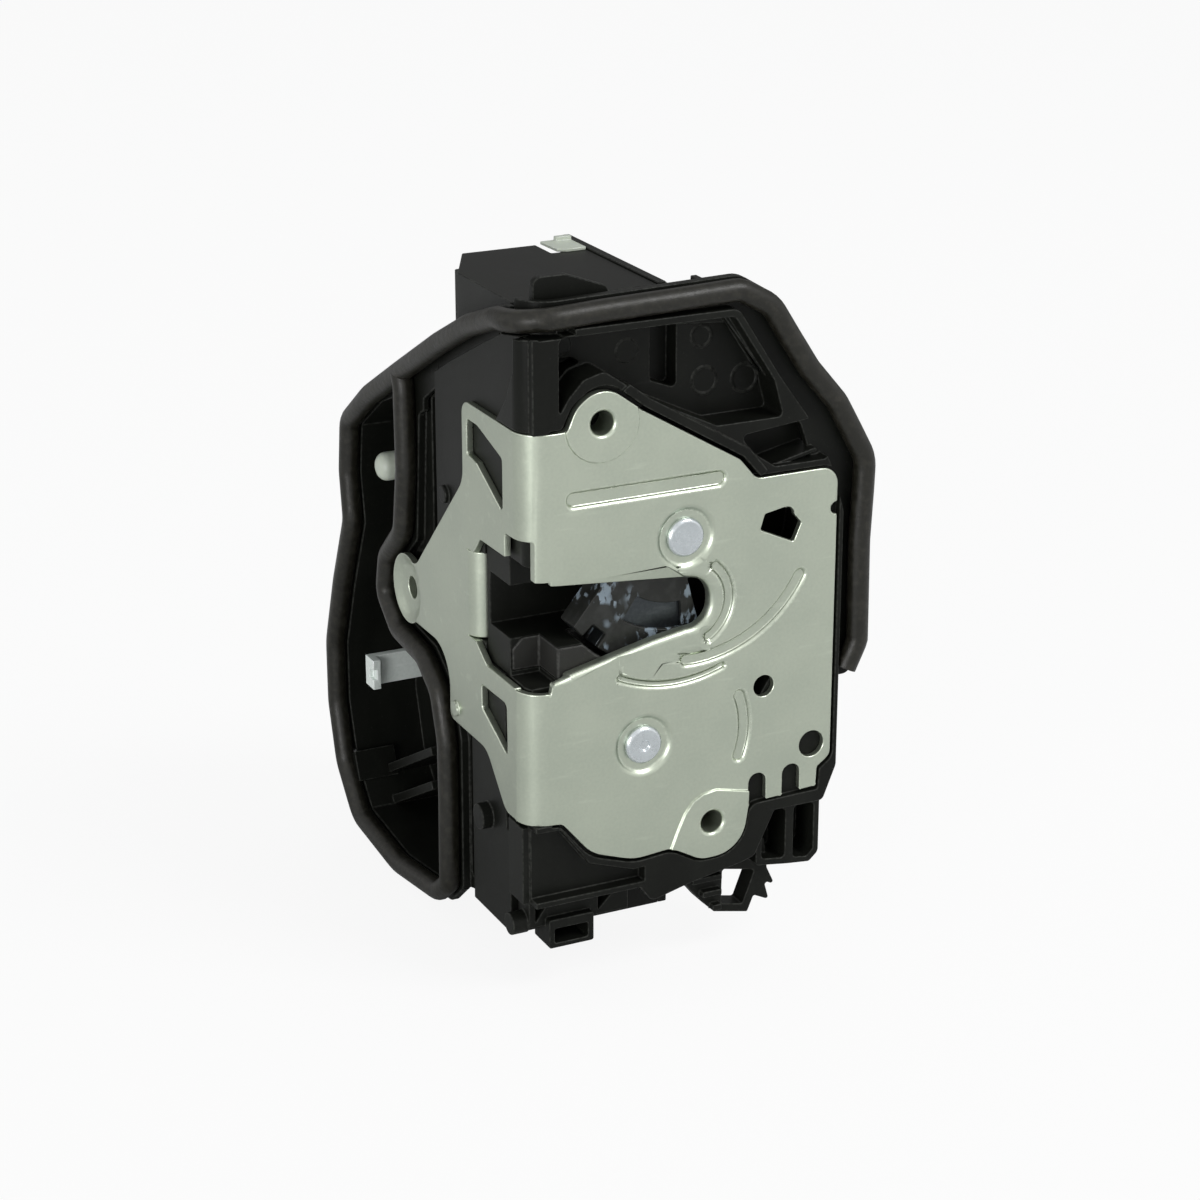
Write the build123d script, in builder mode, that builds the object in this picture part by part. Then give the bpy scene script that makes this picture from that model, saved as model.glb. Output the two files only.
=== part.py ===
from build123d import *
import math
import os

# Door latch actuator, millimetres. X runs right along the latch face, Y into the door, Z up.
# The origin is the centre of the upper screw hole at the outer face of the lock plate.

os.makedirs("parts", exist_ok=True)

# Lock plate sheet
plate_gauge = 1.7
bend_radius = 6.0
flank_x = -18.0
dish_radius = 8.3
dish_depth = 1.5
collar_radius = 4.4
collar_depth = 7.0
screw_bore_radius = 2.6
rivet_dish_radius = 7.0
rivet_dish_depth = 0.9
emboss_height = 0.7
raised_pad_height = 0.6
lip_depth = 3.0
tongue_radius = 4.0
tongue_y = 26.5
tongue_reach = 17.0
upper_screw = (0.0, 0.0)
lower_screw = (27.3, -96.7)
flank_screw = (66.3, -55.8)

# Catch and pawl
catch_centre = (20.2, -28.4)
pawl_centre = (10.3, -75.0)
catch_radius = 30.5
catch_hub_radius = 12.0
striker_slot_width = 12.0
slot_turn = -128.7
slot_root = (-16.1, 1.6)
pawl_ride_turn = 5.5
pivot_radius = 5.0
running_gap = 0.05
blade_front = 5.2
blade_gauge = 7.0
core_gauge = 4.4
jacket_wall = 1.2
rivet_head_radius = 4.4
rivet_head_proud = 0.4
rivet_neck_radius = 3.2
tail_head_radius = 4.6
tail_head_height = 1.4
spring_wire_radius = 0.5

# Latch frame moulding
frame_floor_y = 12.5
frame_back_y = 14.5
back_plate_gauge = 2.0
pocket_floor_y = 9.0
slot_floor_y = 12.5
flange_gauge = 2.0
block_front_y = 3.0
block_back_y = 12.0

# Seal bead
bead_radius = 2.5
face_bead_y = 1.5
flank_bead_x = -17.5
bead_corner_radius = 9.0

# Actuator case
case_right_x = 20.5
flank_pad_x = flank_x + plate_gauge
tray_floor_x = 3.0
tray_floor_gauge = 2.0
box_top_z = 24.0
box_back_y = 58.5
core_front_y = 18.2
channel_depth = 6.0
cover_gauge = 2.0
cover_screw_radius = 1.6
cover_head_radius = 3.2

# Drive train
motor_radius = 10.2
motor_length = 30.0
motor_foot_z = -30.0
motor_top_z = motor_foot_z + motor_length
motor_nose_height = 1.8
module = 1.0
wheel_teeth = 28
pinion_teeth = 10
sector_teeth = 40
wheel_face = 4.0
worm_centre_z = -42.0
lever_gauge = 3.0


# Helpers

def face_plane(depth, centre=(0.0, 0.0), turn=0.0):
    """Plane parallel to the latch face at a depth; extruding from it runs forwards."""
    angle = math.radians(turn)
    return Plane(
        origin=(centre[0], depth, centre[1]),
        x_dir=(math.cos(angle), 0, math.sin(angle)),
        z_dir=(0, -1, 0),
    )


def side_plane(x):
    """Plane parallel to the flank at an X; extruding from it runs towards +X."""
    return Plane.YZ.offset(x)


def polar(radius, degrees):
    angle = math.radians(degrees)
    return (radius * math.cos(angle), radius * math.sin(angle))


def outline(points, radii=0.0, mode=Mode.ADD):
    """Add the face inside a run of corner points, with rounded corners, to the current sketch."""
    with BuildLine(mode=Mode.PRIVATE) as loop:
        FilletPolyline(*points, radius=radii, close=True)
    make_face(loop.edges(), mode=mode)


def front_slab(points, back_y, thickness, radii=0.0, mode=Mode.ADD):
    """Slab of an (X, Z) outline whose back is at back_y, in the current part."""
    with BuildSketch(face_plane(back_y)) as profile:
        outline(points, radii)
    extrude(profile.sketch, amount=thickness, mode=mode)


def side_slab(points, left_x, thickness, radii=0.0, mode=Mode.ADD):
    """Slab of a (Y, Z) outline whose left side is at left_x, in the current part."""
    with BuildSketch(side_plane(left_x)) as profile:
        outline(points, radii)
    extrude(profile.sketch, amount=thickness, mode=mode)


def front_disc(centre, radius, back_y, thickness, mode=Mode.ADD):
    """Disc whose axis runs along Y, in the current part."""
    with BuildSketch(face_plane(back_y, centre)) as profile:
        Circle(radius)
    extrude(profile.sketch, amount=thickness, mode=mode)


def side_disc(centre, radius, left_x, thickness, mode=Mode.ADD):
    """Disc whose axis runs along X, in the current part."""
    with BuildSketch(side_plane(left_x)) as profile:
        with Locations(centre):
            Circle(radius)
    extrude(profile.sketch, amount=thickness, mode=mode)


def box_between(low, high, mode=Mode.ADD):
    """Box between two corners, in the current part."""
    size = [high[i] - low[i] for i in range(3)]
    middle = tuple((high[i] + low[i]) / 2 for i in range(3))
    with Locations(middle):
        Box(*size, mode=mode)


def turned(profile_points, axis, mode=Mode.ADD):
    """Body of revolution from (radius, height) points about a plane's normal."""
    section = Plane(origin=axis.origin, x_dir=axis.x_dir, z_dir=axis.y_dir)
    with BuildSketch(section) as profile:
        with BuildLine(mode=Mode.PRIVATE) as loop:
            Polyline(*[(radius, -height) for radius, height in profile_points], close=True)
        make_face(loop.edges())
    revolve(profile.sketch, axis=Axis(axis.origin, axis.z_dir), mode=mode)


def flank_plane(centre):
    """Plane on the outer face of the flank at a (Y, Z) point, facing away from the latch."""
    return Plane(origin=(flank_x, *centre), x_dir=(0, -1, 0), z_dir=(-1, 0, 0))


def screw_dish(plane):
    """Coned dish with an extruded, threaded collar, pressed into the sheet."""
    with BuildSketch(plane) as opening:
        Circle(dish_radius)
    extrude(opening.sketch, amount=-plate_gauge, mode=Mode.SUBTRACT)
    turned(
        [
            (dish_radius, 0),
            (collar_radius + 0.6, -dish_depth),
            (screw_bore_radius, -dish_depth),
            (screw_bore_radius, -collar_depth),
            (collar_radius, -collar_depth),
            (collar_radius, -dish_depth - plate_gauge),
            (dish_radius, -plate_gauge),
        ],
        plane,
    )


def screw_collar(centre):
    """Threaded collar turned inwards from the pad round a screw hole of the face."""
    front_disc(centre, collar_radius, plate_gauge, plate_gauge + raised_pad_height, Mode.SUBTRACT)
    turned(
        [
            (collar_radius, raised_pad_height),
            (screw_bore_radius + raised_pad_height, raised_pad_height),
            (screw_bore_radius, 0),
            (screw_bore_radius, -collar_depth),
            (collar_radius, -collar_depth),
        ],
        face_plane(0, centre),
    )


def rivet_dish(plane):
    """Flat-bottomed dish round a pivot rivet's head."""
    with BuildSketch(plane) as opening:
        Circle(rivet_dish_radius)
    extrude(opening.sketch, amount=-plate_gauge, mode=Mode.SUBTRACT)
    turned(
        [
            (rivet_dish_radius, 0),
            (rivet_dish_radius - rivet_dish_depth, -rivet_dish_depth),
            (rivet_neck_radius, -rivet_dish_depth),
            (rivet_neck_radius, -rivet_dish_depth - plate_gauge),
            (rivet_dish_radius - 0.4, -rivet_dish_depth - plate_gauge),
            (rivet_dish_radius, -plate_gauge),
        ],
        plane,
    )


def run_slab(path_points, width, depth, thickness, mode=Mode.ADD):
    """Slab of even width along a straight line or an arc of (X, Z) points, its back at a depth."""
    with BuildSketch(face_plane(depth)) as band:
        with BuildLine(mode=Mode.PRIVATE) as middle:
            if len(path_points) == 2:
                Line(*path_points)
            else:
                ThreePointArc(*path_points)
        trace = middle.wire().offset_2d(width / 2, kind=Kind.ARC, side=Side.BOTH, closed=True)
        make_face(trace.edges())
    extrude(band.sketch, amount=thickness, mode=mode)


def pressed_groove(path_points, width):
    """Stiffening groove pressed into the face, with sloping sides and a ridge behind."""
    run_slab(path_points, width, plate_gauge + emboss_height, emboss_height + 0.2)
    run_slab(path_points, width, emboss_height, emboss_height, Mode.SUBTRACT)
    rim = edges(Select.LAST).filter_by_position(Axis.Y, -0.01, 0.01)
    chamfer(rim, emboss_height - 0.1)


# Lock plate: one bent sheet with the face, the flank and a tongue behind the striker mouth

face_outline = [
    (-12, -1), (-8.3, -1), (-6.2, 3.9), (0, 8.8), (4.6, 5.2), (9.8, 1.4), (33.2, -12.6),
    (37.3, -17.5), (57.6, -17.5), (57.6, -86.2), (54.3, -88.6), (54, -93.2), (49.7, -93.5),
    (49.7, -86.7), (45.3, -86.7), (45.3, -93.9), (41, -94), (41, -87.3), (36.8, -87.3),
    (36.5, -94.5), (34.8, -105.2), (24.5, -105.4), (17.5, -101.4), (8, -102.2), (-2.4, -98.6),
    (-9.5, -90.1), (-12, -89.9),
]
face_corner_radii = [
    0, 1.5, 6.5, 6.8, 3, 2, 4, 3, 4, 2.5, 1, 0.6, 0.6,
    2.1, 2.1, 0.6, 0.6, 2.0, 2.0, 3, 8, 7, 6, 12, 10, 2, 0,
]
flank_outline = [
    (bend_radius, -1), (32.4, -1), (32.4, -19.5), (60.6, -48.2), (74.2, -48.2), (74.2, -62.5),
    (41.5, -62.5), (41.8, -78.8), (21.5, -78.9), (11.5, -89.8), (bend_radius, -89.8),
]
flank_corner_radii = [0, 3.2, 7, 5, 6.7, 6.7, 9, 2, 6, 4, 0]
mouth_face_cut = [
    (-19, -33.6), (-11, -34.6), (20.9, -38.0), (26.4, -38.6), (26.4, -49.6), (20.6, -49.6),
    (12.4, -50.9), (-7.4, -55.5), (-11.6, -57.0), (-12, -59), (-19, -59),
]
mouth_face_radii = [0, 1.2, 0, 5.2, 5.2, 0, 0, 2, 1, 0, 0]
mouth_flank_cut = [
    (-1, -24.5), (10.4, -24.8), (10.4, -30.2), (23.5, -30.4), (27.2, -34.6), (30.5, -34.6),
    (30.5, -55), (26.6, -55), (20.8, -58.8), (-1, -58.8),
]
mouth_flank_radii = [0, 1, 0, 1.5, 0.5, 0, 0, 0.5, 2, 0]
tongue_low_z = -54.8
tongue_high_z = -34.8
window_top = [(29.8, -4.8), (24, -4.8), (11.2, -8.6), (11.2, -20.6), (25, -13.3), (29.8, -12.7)]
window_low = [(23.8, -64.2), (10.3, -64), (10, -76.4), (16, -73.4), (23.6, -69.8)]
keyed_hole = [(39.5, -26), (45, -25), (48.6, -29.2), (46.8, -33.4), (38.4, -29.5)]

pressed_runs = [
    ([(-6.4, -16.2), (27.9, -16.2)], 2.9),
    ([(34.0, -67.6), (35.3, -74.8), (34.0, -82.0)], 2.2),
    ([(48.6, -41.4), (37.9, -52.6), (20.6, -56.9)], 2.2),
    ([(27.6, -36.2), (31.0, -44.2), (26.2, -52.2)], 1.8),
    ([(4.5, -58.4), (17.0, -61.6), (29.5, -59.6)], 1.0),
]
upper_pad_radius = 8.6
raised_pad = [
    (16.4, -103), (18.6, -97.5), (20.4, -93.5), (22.4, -90.9), (24.9, -89.5), (28.2, -89.0), (37.5, -91.2),
    (37.5, -108), (16.4, -108),
]
flank_pip = (37.8, -75.2)
flank_pip_radius = 1.7
keyed_hole_round = (44.9, -27.0)
keyed_hole_round_radius = 1.9

sheet_right_x = 60.0
sheet_back_y = 80.0
plate_top_z = 10.0
plate_bottom_z = -106.0

with BuildPart() as face_keep:
    front_slab(face_outline, collar_depth, collar_depth + 1, face_corner_radii)
    box_between((flank_x - 1, -1, -33.6), (-12, bend_radius, -1))
    box_between((flank_x - 1, -1, -89.9), (-12, bend_radius, -58.9))
    side_slab(flank_outline, flank_x - 1, plate_gauge + 2, flank_corner_radii)

with BuildPart() as lock_plate:
    with BuildSketch(Plane.XY.offset(plate_bottom_z)) as bent_sheet:
        with BuildLine():
            outer_face = Line((sheet_right_x, 0), (flank_x + bend_radius, 0))
            outer_bend = RadiusArc(outer_face @ 1, (flank_x, bend_radius), bend_radius)
            outer_flank = Line(outer_bend @ 1, (flank_x, sheet_back_y))
            Line(outer_flank @ 1, (flank_pad_x, sheet_back_y))
            inner_flank = Line((flank_pad_x, sheet_back_y), (flank_pad_x, bend_radius))
            inner_bend = RadiusArc(
                inner_flank @ 1,
                (flank_x + bend_radius, plate_gauge),
                -(bend_radius - plate_gauge),
            )
            Line(inner_bend @ 1, (sheet_right_x, plate_gauge))
            Line((sheet_right_x, plate_gauge), (sheet_right_x, 0))
        make_face()
    extrude(amount=plate_top_z - plate_bottom_z)
    add(face_keep.part, mode=Mode.INTERSECT)
    front_slab(mouth_face_cut, bend_radius, bend_radius + 1, mouth_face_radii, Mode.SUBTRACT)
    side_slab(mouth_flank_cut, flank_x - 1, plate_gauge + 2, mouth_flank_radii, Mode.SUBTRACT)
    side_slab(window_top, flank_x - 1, plate_gauge + 2, [1, 2, 1.2, 1, 2, 0.8], Mode.SUBTRACT)
    side_slab(window_low, flank_x - 1, plate_gauge + 2, [1, 1.5, 1, 2, 1], Mode.SUBTRACT)
    front_slab(keyed_hole, plate_gauge, plate_gauge, [0.6, 1.6, 0.6, 0.6, 0.6], Mode.SUBTRACT)
    front_disc(keyed_hole_round, keyed_hole_round_radius, plate_gauge, plate_gauge, Mode.SUBTRACT)
    front_disc((40, -66.3), 2.5, plate_gauge, plate_gauge, Mode.SUBTRACT)
    front_disc((52.6, -82.6), 3.1, plate_gauge, plate_gauge, Mode.SUBTRACT)
    front_disc((57.4, -27.1), 1.4, plate_gauge, plate_gauge, Mode.SUBTRACT)
    # Tongue folded inwards from the flank behind the mouth
    tongue_turn_y = tongue_y + tongue_radius
    tongue_turn_x = flank_x + tongue_radius
    tongue_tip_x = flank_x + tongue_reach
    tongue_back_y = tongue_y + plate_gauge
    with BuildSketch(Plane.XY.offset(tongue_low_z)) as tongue:
        with BuildLine():
            tongue_bend = RadiusArc((tongue_turn_x, tongue_y), (flank_x, tongue_turn_y), tongue_radius)
            Line(tongue_bend @ 1, (flank_pad_x, tongue_turn_y))
            tongue_inside = RadiusArc(
                (flank_pad_x, tongue_turn_y),
                (tongue_turn_x, tongue_back_y),
                -(tongue_radius - plate_gauge),
            )
            Line(tongue_inside @ 1, (tongue_tip_x, tongue_back_y))
            Line((tongue_tip_x, tongue_back_y), (tongue_tip_x, tongue_y))
            Line((tongue_tip_x, tongue_y), (tongue_turn_x, tongue_y))
        make_face()
    extrude(amount=tongue_high_z - tongue_low_z)
    # Lip turned inwards along the upper and lower edges of the mouth
    with BuildSketch(face_plane(lip_depth)) as lip:
        outline(mouth_face_cut, mouth_face_radii)
        offset(amount=plate_gauge)
        outline(mouth_face_cut, mouth_face_radii, Mode.SUBTRACT)
        with Locations((-20, -45)):
            Rectangle(24, 40, mode=Mode.SUBTRACT)
    extrude(lip.sketch, amount=lip_depth - plate_gauge)
    # Pads raised round both screws and pip on the flank
    with BuildSketch(face_plane(0)) as pads:
        outline(raised_pad)
        with Locations(upper_screw):
            Circle(upper_pad_radius)
        outline(face_outline, face_corner_radii, Mode.INTERSECT)
    extrude(pads.sketch, amount=raised_pad_height)
    side_disc(flank_pip, flank_pip_radius, flank_x - 0.7, 0.8)
    for centre in (upper_screw, lower_screw):
        screw_collar(centre)
    screw_dish(flank_plane(flank_screw))
    for centre in (catch_centre, pawl_centre):
        rivet_dish(face_plane(0, centre))
    for run, width in pressed_runs:
        pressed_groove(run, width)

lock_plate.part.label = "lock_plate"
export_step(lock_plate.part, "parts/lock_plate.step")


# Pivot rivets: head in the face dish, shoulder for the moving piece, tail on the back plate

dish_floor_y = rivet_dish_depth
shoulder_front_y = rivet_dish_depth + plate_gauge
back_plate_y = frame_back_y + back_plate_gauge


def pivot_pin(centre, shoulder_radius):
    """Stepped rivet on an axis along Y, in the current part."""
    front_disc(centre, rivet_head_radius, dish_floor_y, dish_floor_y + rivet_head_proud)
    front_disc(centre, rivet_neck_radius, back_plate_y, back_plate_y - dish_floor_y)
    front_disc(centre, shoulder_radius, frame_back_y, frame_back_y - shoulder_front_y)
    front_disc(centre, tail_head_radius, back_plate_y + tail_head_height, tail_head_height)


with BuildPart() as catch_pivot:
    pivot_pin(catch_centre, pivot_radius)
    head_edge = catch_pivot.edges().group_by(Axis.Y)[0]
    chamfer(head_edge, 0.6)

catch_pivot.part.label = "catch_pivot"
export_step(catch_pivot.part, "parts/catch_pivot.step")

pawl_pivot_radius = 4.0
dimple_radius = 1.2
dimple_depth = 0.5

with BuildPart() as pawl_pivot:
    pivot_pin(pawl_centre, pawl_pivot_radius)
    head_edge = pawl_pivot.edges().group_by(Axis.Y)[0]
    chamfer(head_edge, 0.6)
    front_disc(pawl_centre, dimple_radius, -rivet_head_proud + dimple_depth, 1, Mode.SUBTRACT)

pawl_pivot.part.label = "pawl_pivot"
export_step(pawl_pivot.part, "parts/pawl_pivot.step")


# Rotary catch: steel core in a plastic jacket, open position

core_front_gap = (blade_gauge - core_gauge) / 2
catch_back_y = blade_front + blade_gauge
core_back_y = blade_front + blade_gauge - core_front_gap
sector_start = 138.0
sector_end = 285.0
notch_depth = 3.5
full_notch = (223.0, 232.0)
half_notch = (255.0, 264.0)


def sector_points(start, end, reach):
    """Corner points of a pie slice that is larger than the disc it is used on."""
    steps = 4
    turns = [start + (end - start) * i / steps for i in range(steps + 1)]
    return [(0, 0)] + [polar(reach, turn) for turn in turns]


def catch_blank(cover=0.0):
    """Forked outline of the catch about its own centre, drawn cover smaller all round."""
    with BuildSketch(mode=Mode.PRIVATE) as shape:
        Circle(catch_radius)
        outline(sector_points(sector_start, sector_end, 2 * catch_radius), 0, Mode.INTERSECT)
        Circle(catch_hub_radius)
        with Locations(slot_root):
            Circle(striker_slot_width / 2, mode=Mode.SUBTRACT)
        slot_run = polar(catch_radius, slot_turn)
        slot_middle = (slot_root[0] + slot_run[0] / 2, slot_root[1] + slot_run[1] / 2)
        with Locations(Location((*slot_middle, 0), (0, 0, slot_turn))):
            Rectangle(catch_radius, striker_slot_width, mode=Mode.SUBTRACT)
        for start, end in (full_notch, half_notch):
            with BuildSketch(mode=Mode.PRIVATE) as notch:
                Circle(catch_radius + 1)
                Circle(catch_radius - notch_depth, mode=Mode.SUBTRACT)
                outline(sector_points(start, end, 2 * catch_radius), 0, Mode.INTERSECT)
            add(notch.sketch, mode=Mode.SUBTRACT)
        if cover:
            offset(amount=-cover)
    return shape.sketch


def notch_band(cover=0.0):
    """Band of the catch rim round its notches, where the steel comes to the surface."""
    with BuildSketch(mode=Mode.PRIVATE) as band:
        add(catch_blank())
        with BuildSketch(mode=Mode.PRIVATE) as slice:
            Circle(catch_radius + 1)
            Circle(catch_radius - notch_depth - 3.5, mode=Mode.SUBTRACT)
            outline(sector_points(218, 272, 2 * catch_radius), 0, Mode.INTERSECT)
        add(slice.sketch, mode=Mode.INTERSECT)
    return band.sketch


with BuildPart() as rotary_catch:
    with BuildSketch(face_plane(core_back_y, catch_centre)) as core_shape:
        add(catch_blank(jacket_wall))
        add(notch_band())
        Circle(pivot_radius + jacket_wall, mode=Mode.SUBTRACT)
    extrude(amount=core_gauge)

rotary_catch.part.label = "rotary_catch"
export_step(rotary_catch.part, "parts/rotary_catch.step")

with BuildPart() as catch_jacket:
    with BuildSketch(face_plane(catch_back_y, catch_centre)) as jacket_shape:
        add(catch_blank())
        Circle(pivot_radius + running_gap, mode=Mode.SUBTRACT)
    extrude(amount=blade_gauge)
    with BuildSketch(face_plane(core_back_y, catch_centre)) as core_room:
        add(catch_blank(jacket_wall))
        add(notch_band())
        Circle(pivot_radius + jacket_wall, mode=Mode.SUBTRACT)
    extrude(amount=core_gauge, mode=Mode.SUBTRACT)
    with BuildSketch(face_plane(blade_front + core_front_gap, catch_centre)) as face_window:
        Circle(catch_radius - 8)
        Circle(catch_radius - 14, mode=Mode.SUBTRACT)
        outline(sector_points(236, 275, 2 * catch_radius), 0, Mode.INTERSECT)
    extrude(amount=core_front_gap, mode=Mode.SUBTRACT)

catch_jacket.part.label = "catch_jacket"
export_step(catch_jacket.part, "parts/catch_jacket.step")


# Pawl: steel core with a nose for the notches, in a jacket with the release finger

pawl_hub_radius = 9.0
pawl_finger = (17.0, -84.0)
finger_slot_left = 12.7
finger_slot_right = 20.4
finger_slot_low = -88.8
finger_slot_high = -79.8
finger_radius = 2.2
finger_end_y = 24.0
nose_clearance = 0.5
arm_points = [(5, -67.5), (30, -50), (38.3, -49.2), (43.2, -54.8), (37.5, -62.5), (17, -81)]
nose_points = [(38.3, -49.2), (43.2, -54.8), (39, -57), (37, -54.5), (35.55, -51.3)]


def about_pawl(points):
    return [(x - pawl_centre[0], z - pawl_centre[1]) for x, z in points]


def pawl_blank(cover=0.0):
    """Pawl outline about its own centre, in the engaged position."""
    catch_from_pawl = about_pawl([catch_centre])[0]
    with BuildSketch(mode=Mode.PRIVATE) as shape:
        outline(about_pawl(arm_points))
        with Locations(catch_from_pawl):
            Circle(catch_radius + nose_clearance, mode=Mode.SUBTRACT)
        Circle(pawl_hub_radius)
        with Locations(about_pawl([pawl_finger])[0]):
            Circle(finger_radius + 1.8)
        if cover:
            offset(amount=-cover)
    return shape.sketch


def pawl_core():
    """Steel outline of the pawl: the covered part and the bare nose."""
    with BuildSketch(mode=Mode.PRIVATE) as shape:
        add(pawl_blank(jacket_wall))
        with BuildSketch(mode=Mode.PRIVATE) as tip:
            add(pawl_blank())
            outline(about_pawl([(31, -45), (50, -45), (50, -64), (36, -64)]), 0, Mode.INTERSECT)
        add(tip.sketch)
        outline(about_pawl(nose_points))
        Circle(pawl_pivot_radius + jacket_wall, mode=Mode.SUBTRACT)
    return shape.sketch


with BuildPart() as pawl:
    with BuildSketch(face_plane(core_back_y, pawl_centre, -pawl_ride_turn)) as steel_shape:
        add(pawl_core())
    extrude(amount=core_gauge)

pawl.part.label = "pawl"
export_step(pawl.part, "parts/pawl.step")

with BuildPart() as pawl_jacket:
    with BuildSketch(face_plane(catch_back_y, pawl_centre, -pawl_ride_turn)) as cover_shape:
        add(pawl_blank())
        outline(about_pawl([(31, -45), (50, -45), (50, -64), (36, -64)]), 0, Mode.SUBTRACT)
        Circle(pawl_pivot_radius + running_gap, mode=Mode.SUBTRACT)
    extrude(amount=blade_gauge)
    with BuildSketch(face_plane(core_back_y, pawl_centre, -pawl_ride_turn)) as steel_room:
        add(pawl_core())
    extrude(amount=core_gauge, mode=Mode.SUBTRACT)
    with BuildSketch(face_plane(finger_end_y, pawl_centre, -pawl_ride_turn)) as finger:
        with Locations(about_pawl([pawl_finger])[0]):
            Circle(finger_radius)
    extrude(amount=finger_end_y - catch_back_y)

pawl_jacket.part.label = "pawl_jacket"
export_step(pawl_jacket.part, "parts/pawl_jacket.step")


# Back plate: carries the tails of both rivets behind the frame

back_plate_outline = [
    (9, -20), (14, -17), (30, -17), (39, -26), (39, -84), (22, -92), (2, -92), (-1, -84),
    (-1, -70), (6, -62), (27, -60.5), (27, -35.2), (13, -35.2), (9, -31),
]

with BuildPart() as back_plate:
    front_slab(back_plate_outline, back_plate_y, back_plate_gauge, 2.0)
    for centre in (catch_centre, pawl_centre):
        front_disc(centre, rivet_neck_radius, back_plate_y, back_plate_gauge, Mode.SUBTRACT)
    box_between(
        (finger_slot_left, frame_back_y - 1, finger_slot_low),
        (finger_slot_right, back_plate_y + 1, finger_slot_high),
        Mode.SUBTRACT,
    )

back_plate.part.label = "back_plate"
export_step(back_plate.part, "parts/back_plate.step")


# Springs of the catch and the pawl, wound round the pivots in front of the blades

spring_pitch = 1.15
spring_rise = 1.3
spring_front_y = 3.3


def pivot_spring(centre, coil_radius, first_leg, second_leg):
    """Torsion spring about a Y axis with two straight legs, in the current part."""
    coil_foot = (centre[0], spring_front_y, centre[1])
    with BuildLine() as winding:
        Helix(spring_pitch, spring_rise, coil_radius, center=coil_foot, direction=(0, 1, 0))
    coil = winding.line
    with BuildSketch(Plane(origin=coil @ 0, z_dir=coil % 0)) as wire:
        Circle(spring_wire_radius)
    sweep(sections=wire.sketch, path=coil, is_frenet=True)
    for end, heading, length in ((coil @ 0, -(coil % 0), first_leg), (coil @ 1, coil % 1, second_leg)):
        flat = Vector(heading.X, 0, heading.Z).normalized()
        with BuildSketch(Plane(origin=end - flat * spring_wire_radius, z_dir=flat)) as leg:
            Circle(spring_wire_radius)
        extrude(leg.sketch, amount=length)


with BuildPart() as catch_spring:
    pivot_spring(catch_centre, 6.2, 9, 14)

catch_spring.part.label = "catch_spring"
export_step(catch_spring.part, "parts/catch_spring.step")

with BuildPart() as pawl_spring:
    pivot_spring(pawl_centre, 5.3, 6, 9)

pawl_spring.part.label = "pawl_spring"
export_step(pawl_spring.part, "parts/pawl_spring.step")


# Latch frame: black moulding behind the plate face, with rim, floors, column, mouth box and clips

rim_outline = [
    (-15.9, 20.8), (32.2, 20.8), (42.3, 5), (49, -4.3), (52.7, -10.2), (56.4, -18.3), (59.3, -28),
    (59.3, -89), (56, -97.2), (43.5, -97.2), (38.5, -107.6), (35, -108.6), (22, -111),
    (12.5, -113.4), (9.6, -109.4), (-15.9, -109.4),
]
rim_corner_radii = [0, 3, 6, 6, 6, 6, 6, 3, 1.5, 1, 2, 5, 6, 2, 0, 0]
face_contour = [
    (-12, -0.4), (-9.2, -0.4), (-7, 4.3), (0, 9.5), (5.3, 6.0), (10.2, 2.3), (33.6, -11.9),
    (37.8, -16.9), (58.2, -16.9), (58.2, -86.8), (54.9, -89.2), (54.6, -94.2), (36.9, -94.6),
    (35.4, -105.8), (24.2, -106.1), (17.4, -102.1), (8, -102.9), (-2.8, -99.3), (-9.9, -90.7),
    (-12, -90.5),
]
face_contour_radii = [0, 1, 6.5, 6.8, 3, 2, 4, 3, 4.5, 3, 1, 0.6, 3, 8, 7, 6, 12, 10, 2, 0]
rim_room = [
    (-9.8, 19.2), (31.2, 19.2), (41.1, 4), (43.4, -4.3), (27.4, -4.3), (9.2, 4.5), (4.6, 8.3),
    (0.5, 11), (-4.2, 9.8), (-7.6, 6.2), (-9.8, 2.6),
]
rim_room_radii = [1.5, 2, 3, 1, 2, 4, 3, 2, 3, 3, 0.3]
rim_floor = [(20, 20.2), (32, 20.2), (42.4, 4.4), (44.6, -5.2), (30, -5.2), (20, 0)]
rim_floor_y = 8.0
rim_floor_gauge = 2.0
side_room = [(51.4, -5.6), (56, -15.4), (41.8, -15.4), (36.2, -11.6), (33, -7.4)]
dark_room = [(15.2, 19.2), (21.4, 19.2), (21.4, 2.8), (15.2, 5.2)]
left_room = [(-9.8, 12.6), (-3.5, 12.6), (-0.8, 11.3), (-4.4, 10.1), (-7.8, 6.5), (-9.8, 3.2)]
flange_outline = [
    (-8.5, 26.2), (17, 26.7), (34.2, 27.1), (42.7, 22), (47.3, 14.7), (52.5, 6.8), (59.8, -1.7),
    (63.7, -8.7), (67.6, -16.4), (67.4, -24), (66.9, -36), (67.2, -60.4), (64, -68.8), (57, -68.8),
    (57, -28), (50, -8), (30, 19), (-8.5, 19),
]
flange_radii = [0, 3, 6, 4, 4, 4, 5, 6, 6, 4, 4, 6, 2.2, 0, 3, 3, 3, 0]
pawl_room = [
    (-1.4, -72), (6, -62), (30, -44), (49, -45), (49.5, -57), (42, -66), (31, -83), (23.4, -90),
    (10, -90), (3, -84),
]
mouth_box_outline = [
    (-15.9, -58.6), (25.6, -58.6), (25.6, -36.2), (8, -36.2), (4, -31), (-15.9, -31),
]
mouth_box_back_y = 24.6
tunnel_low_z = -49.9
tunnel_high_z = -37.8
tunnel_end_x = 24.0
guide_outline = [(-15.5, -57.5), (-15.5, -52.5), (-13, -50), (12, -50.6), (12, -57.5)]
guide_front_y = 3.3
guide_back_y = 23.0
frame_gap = 0.3
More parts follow.
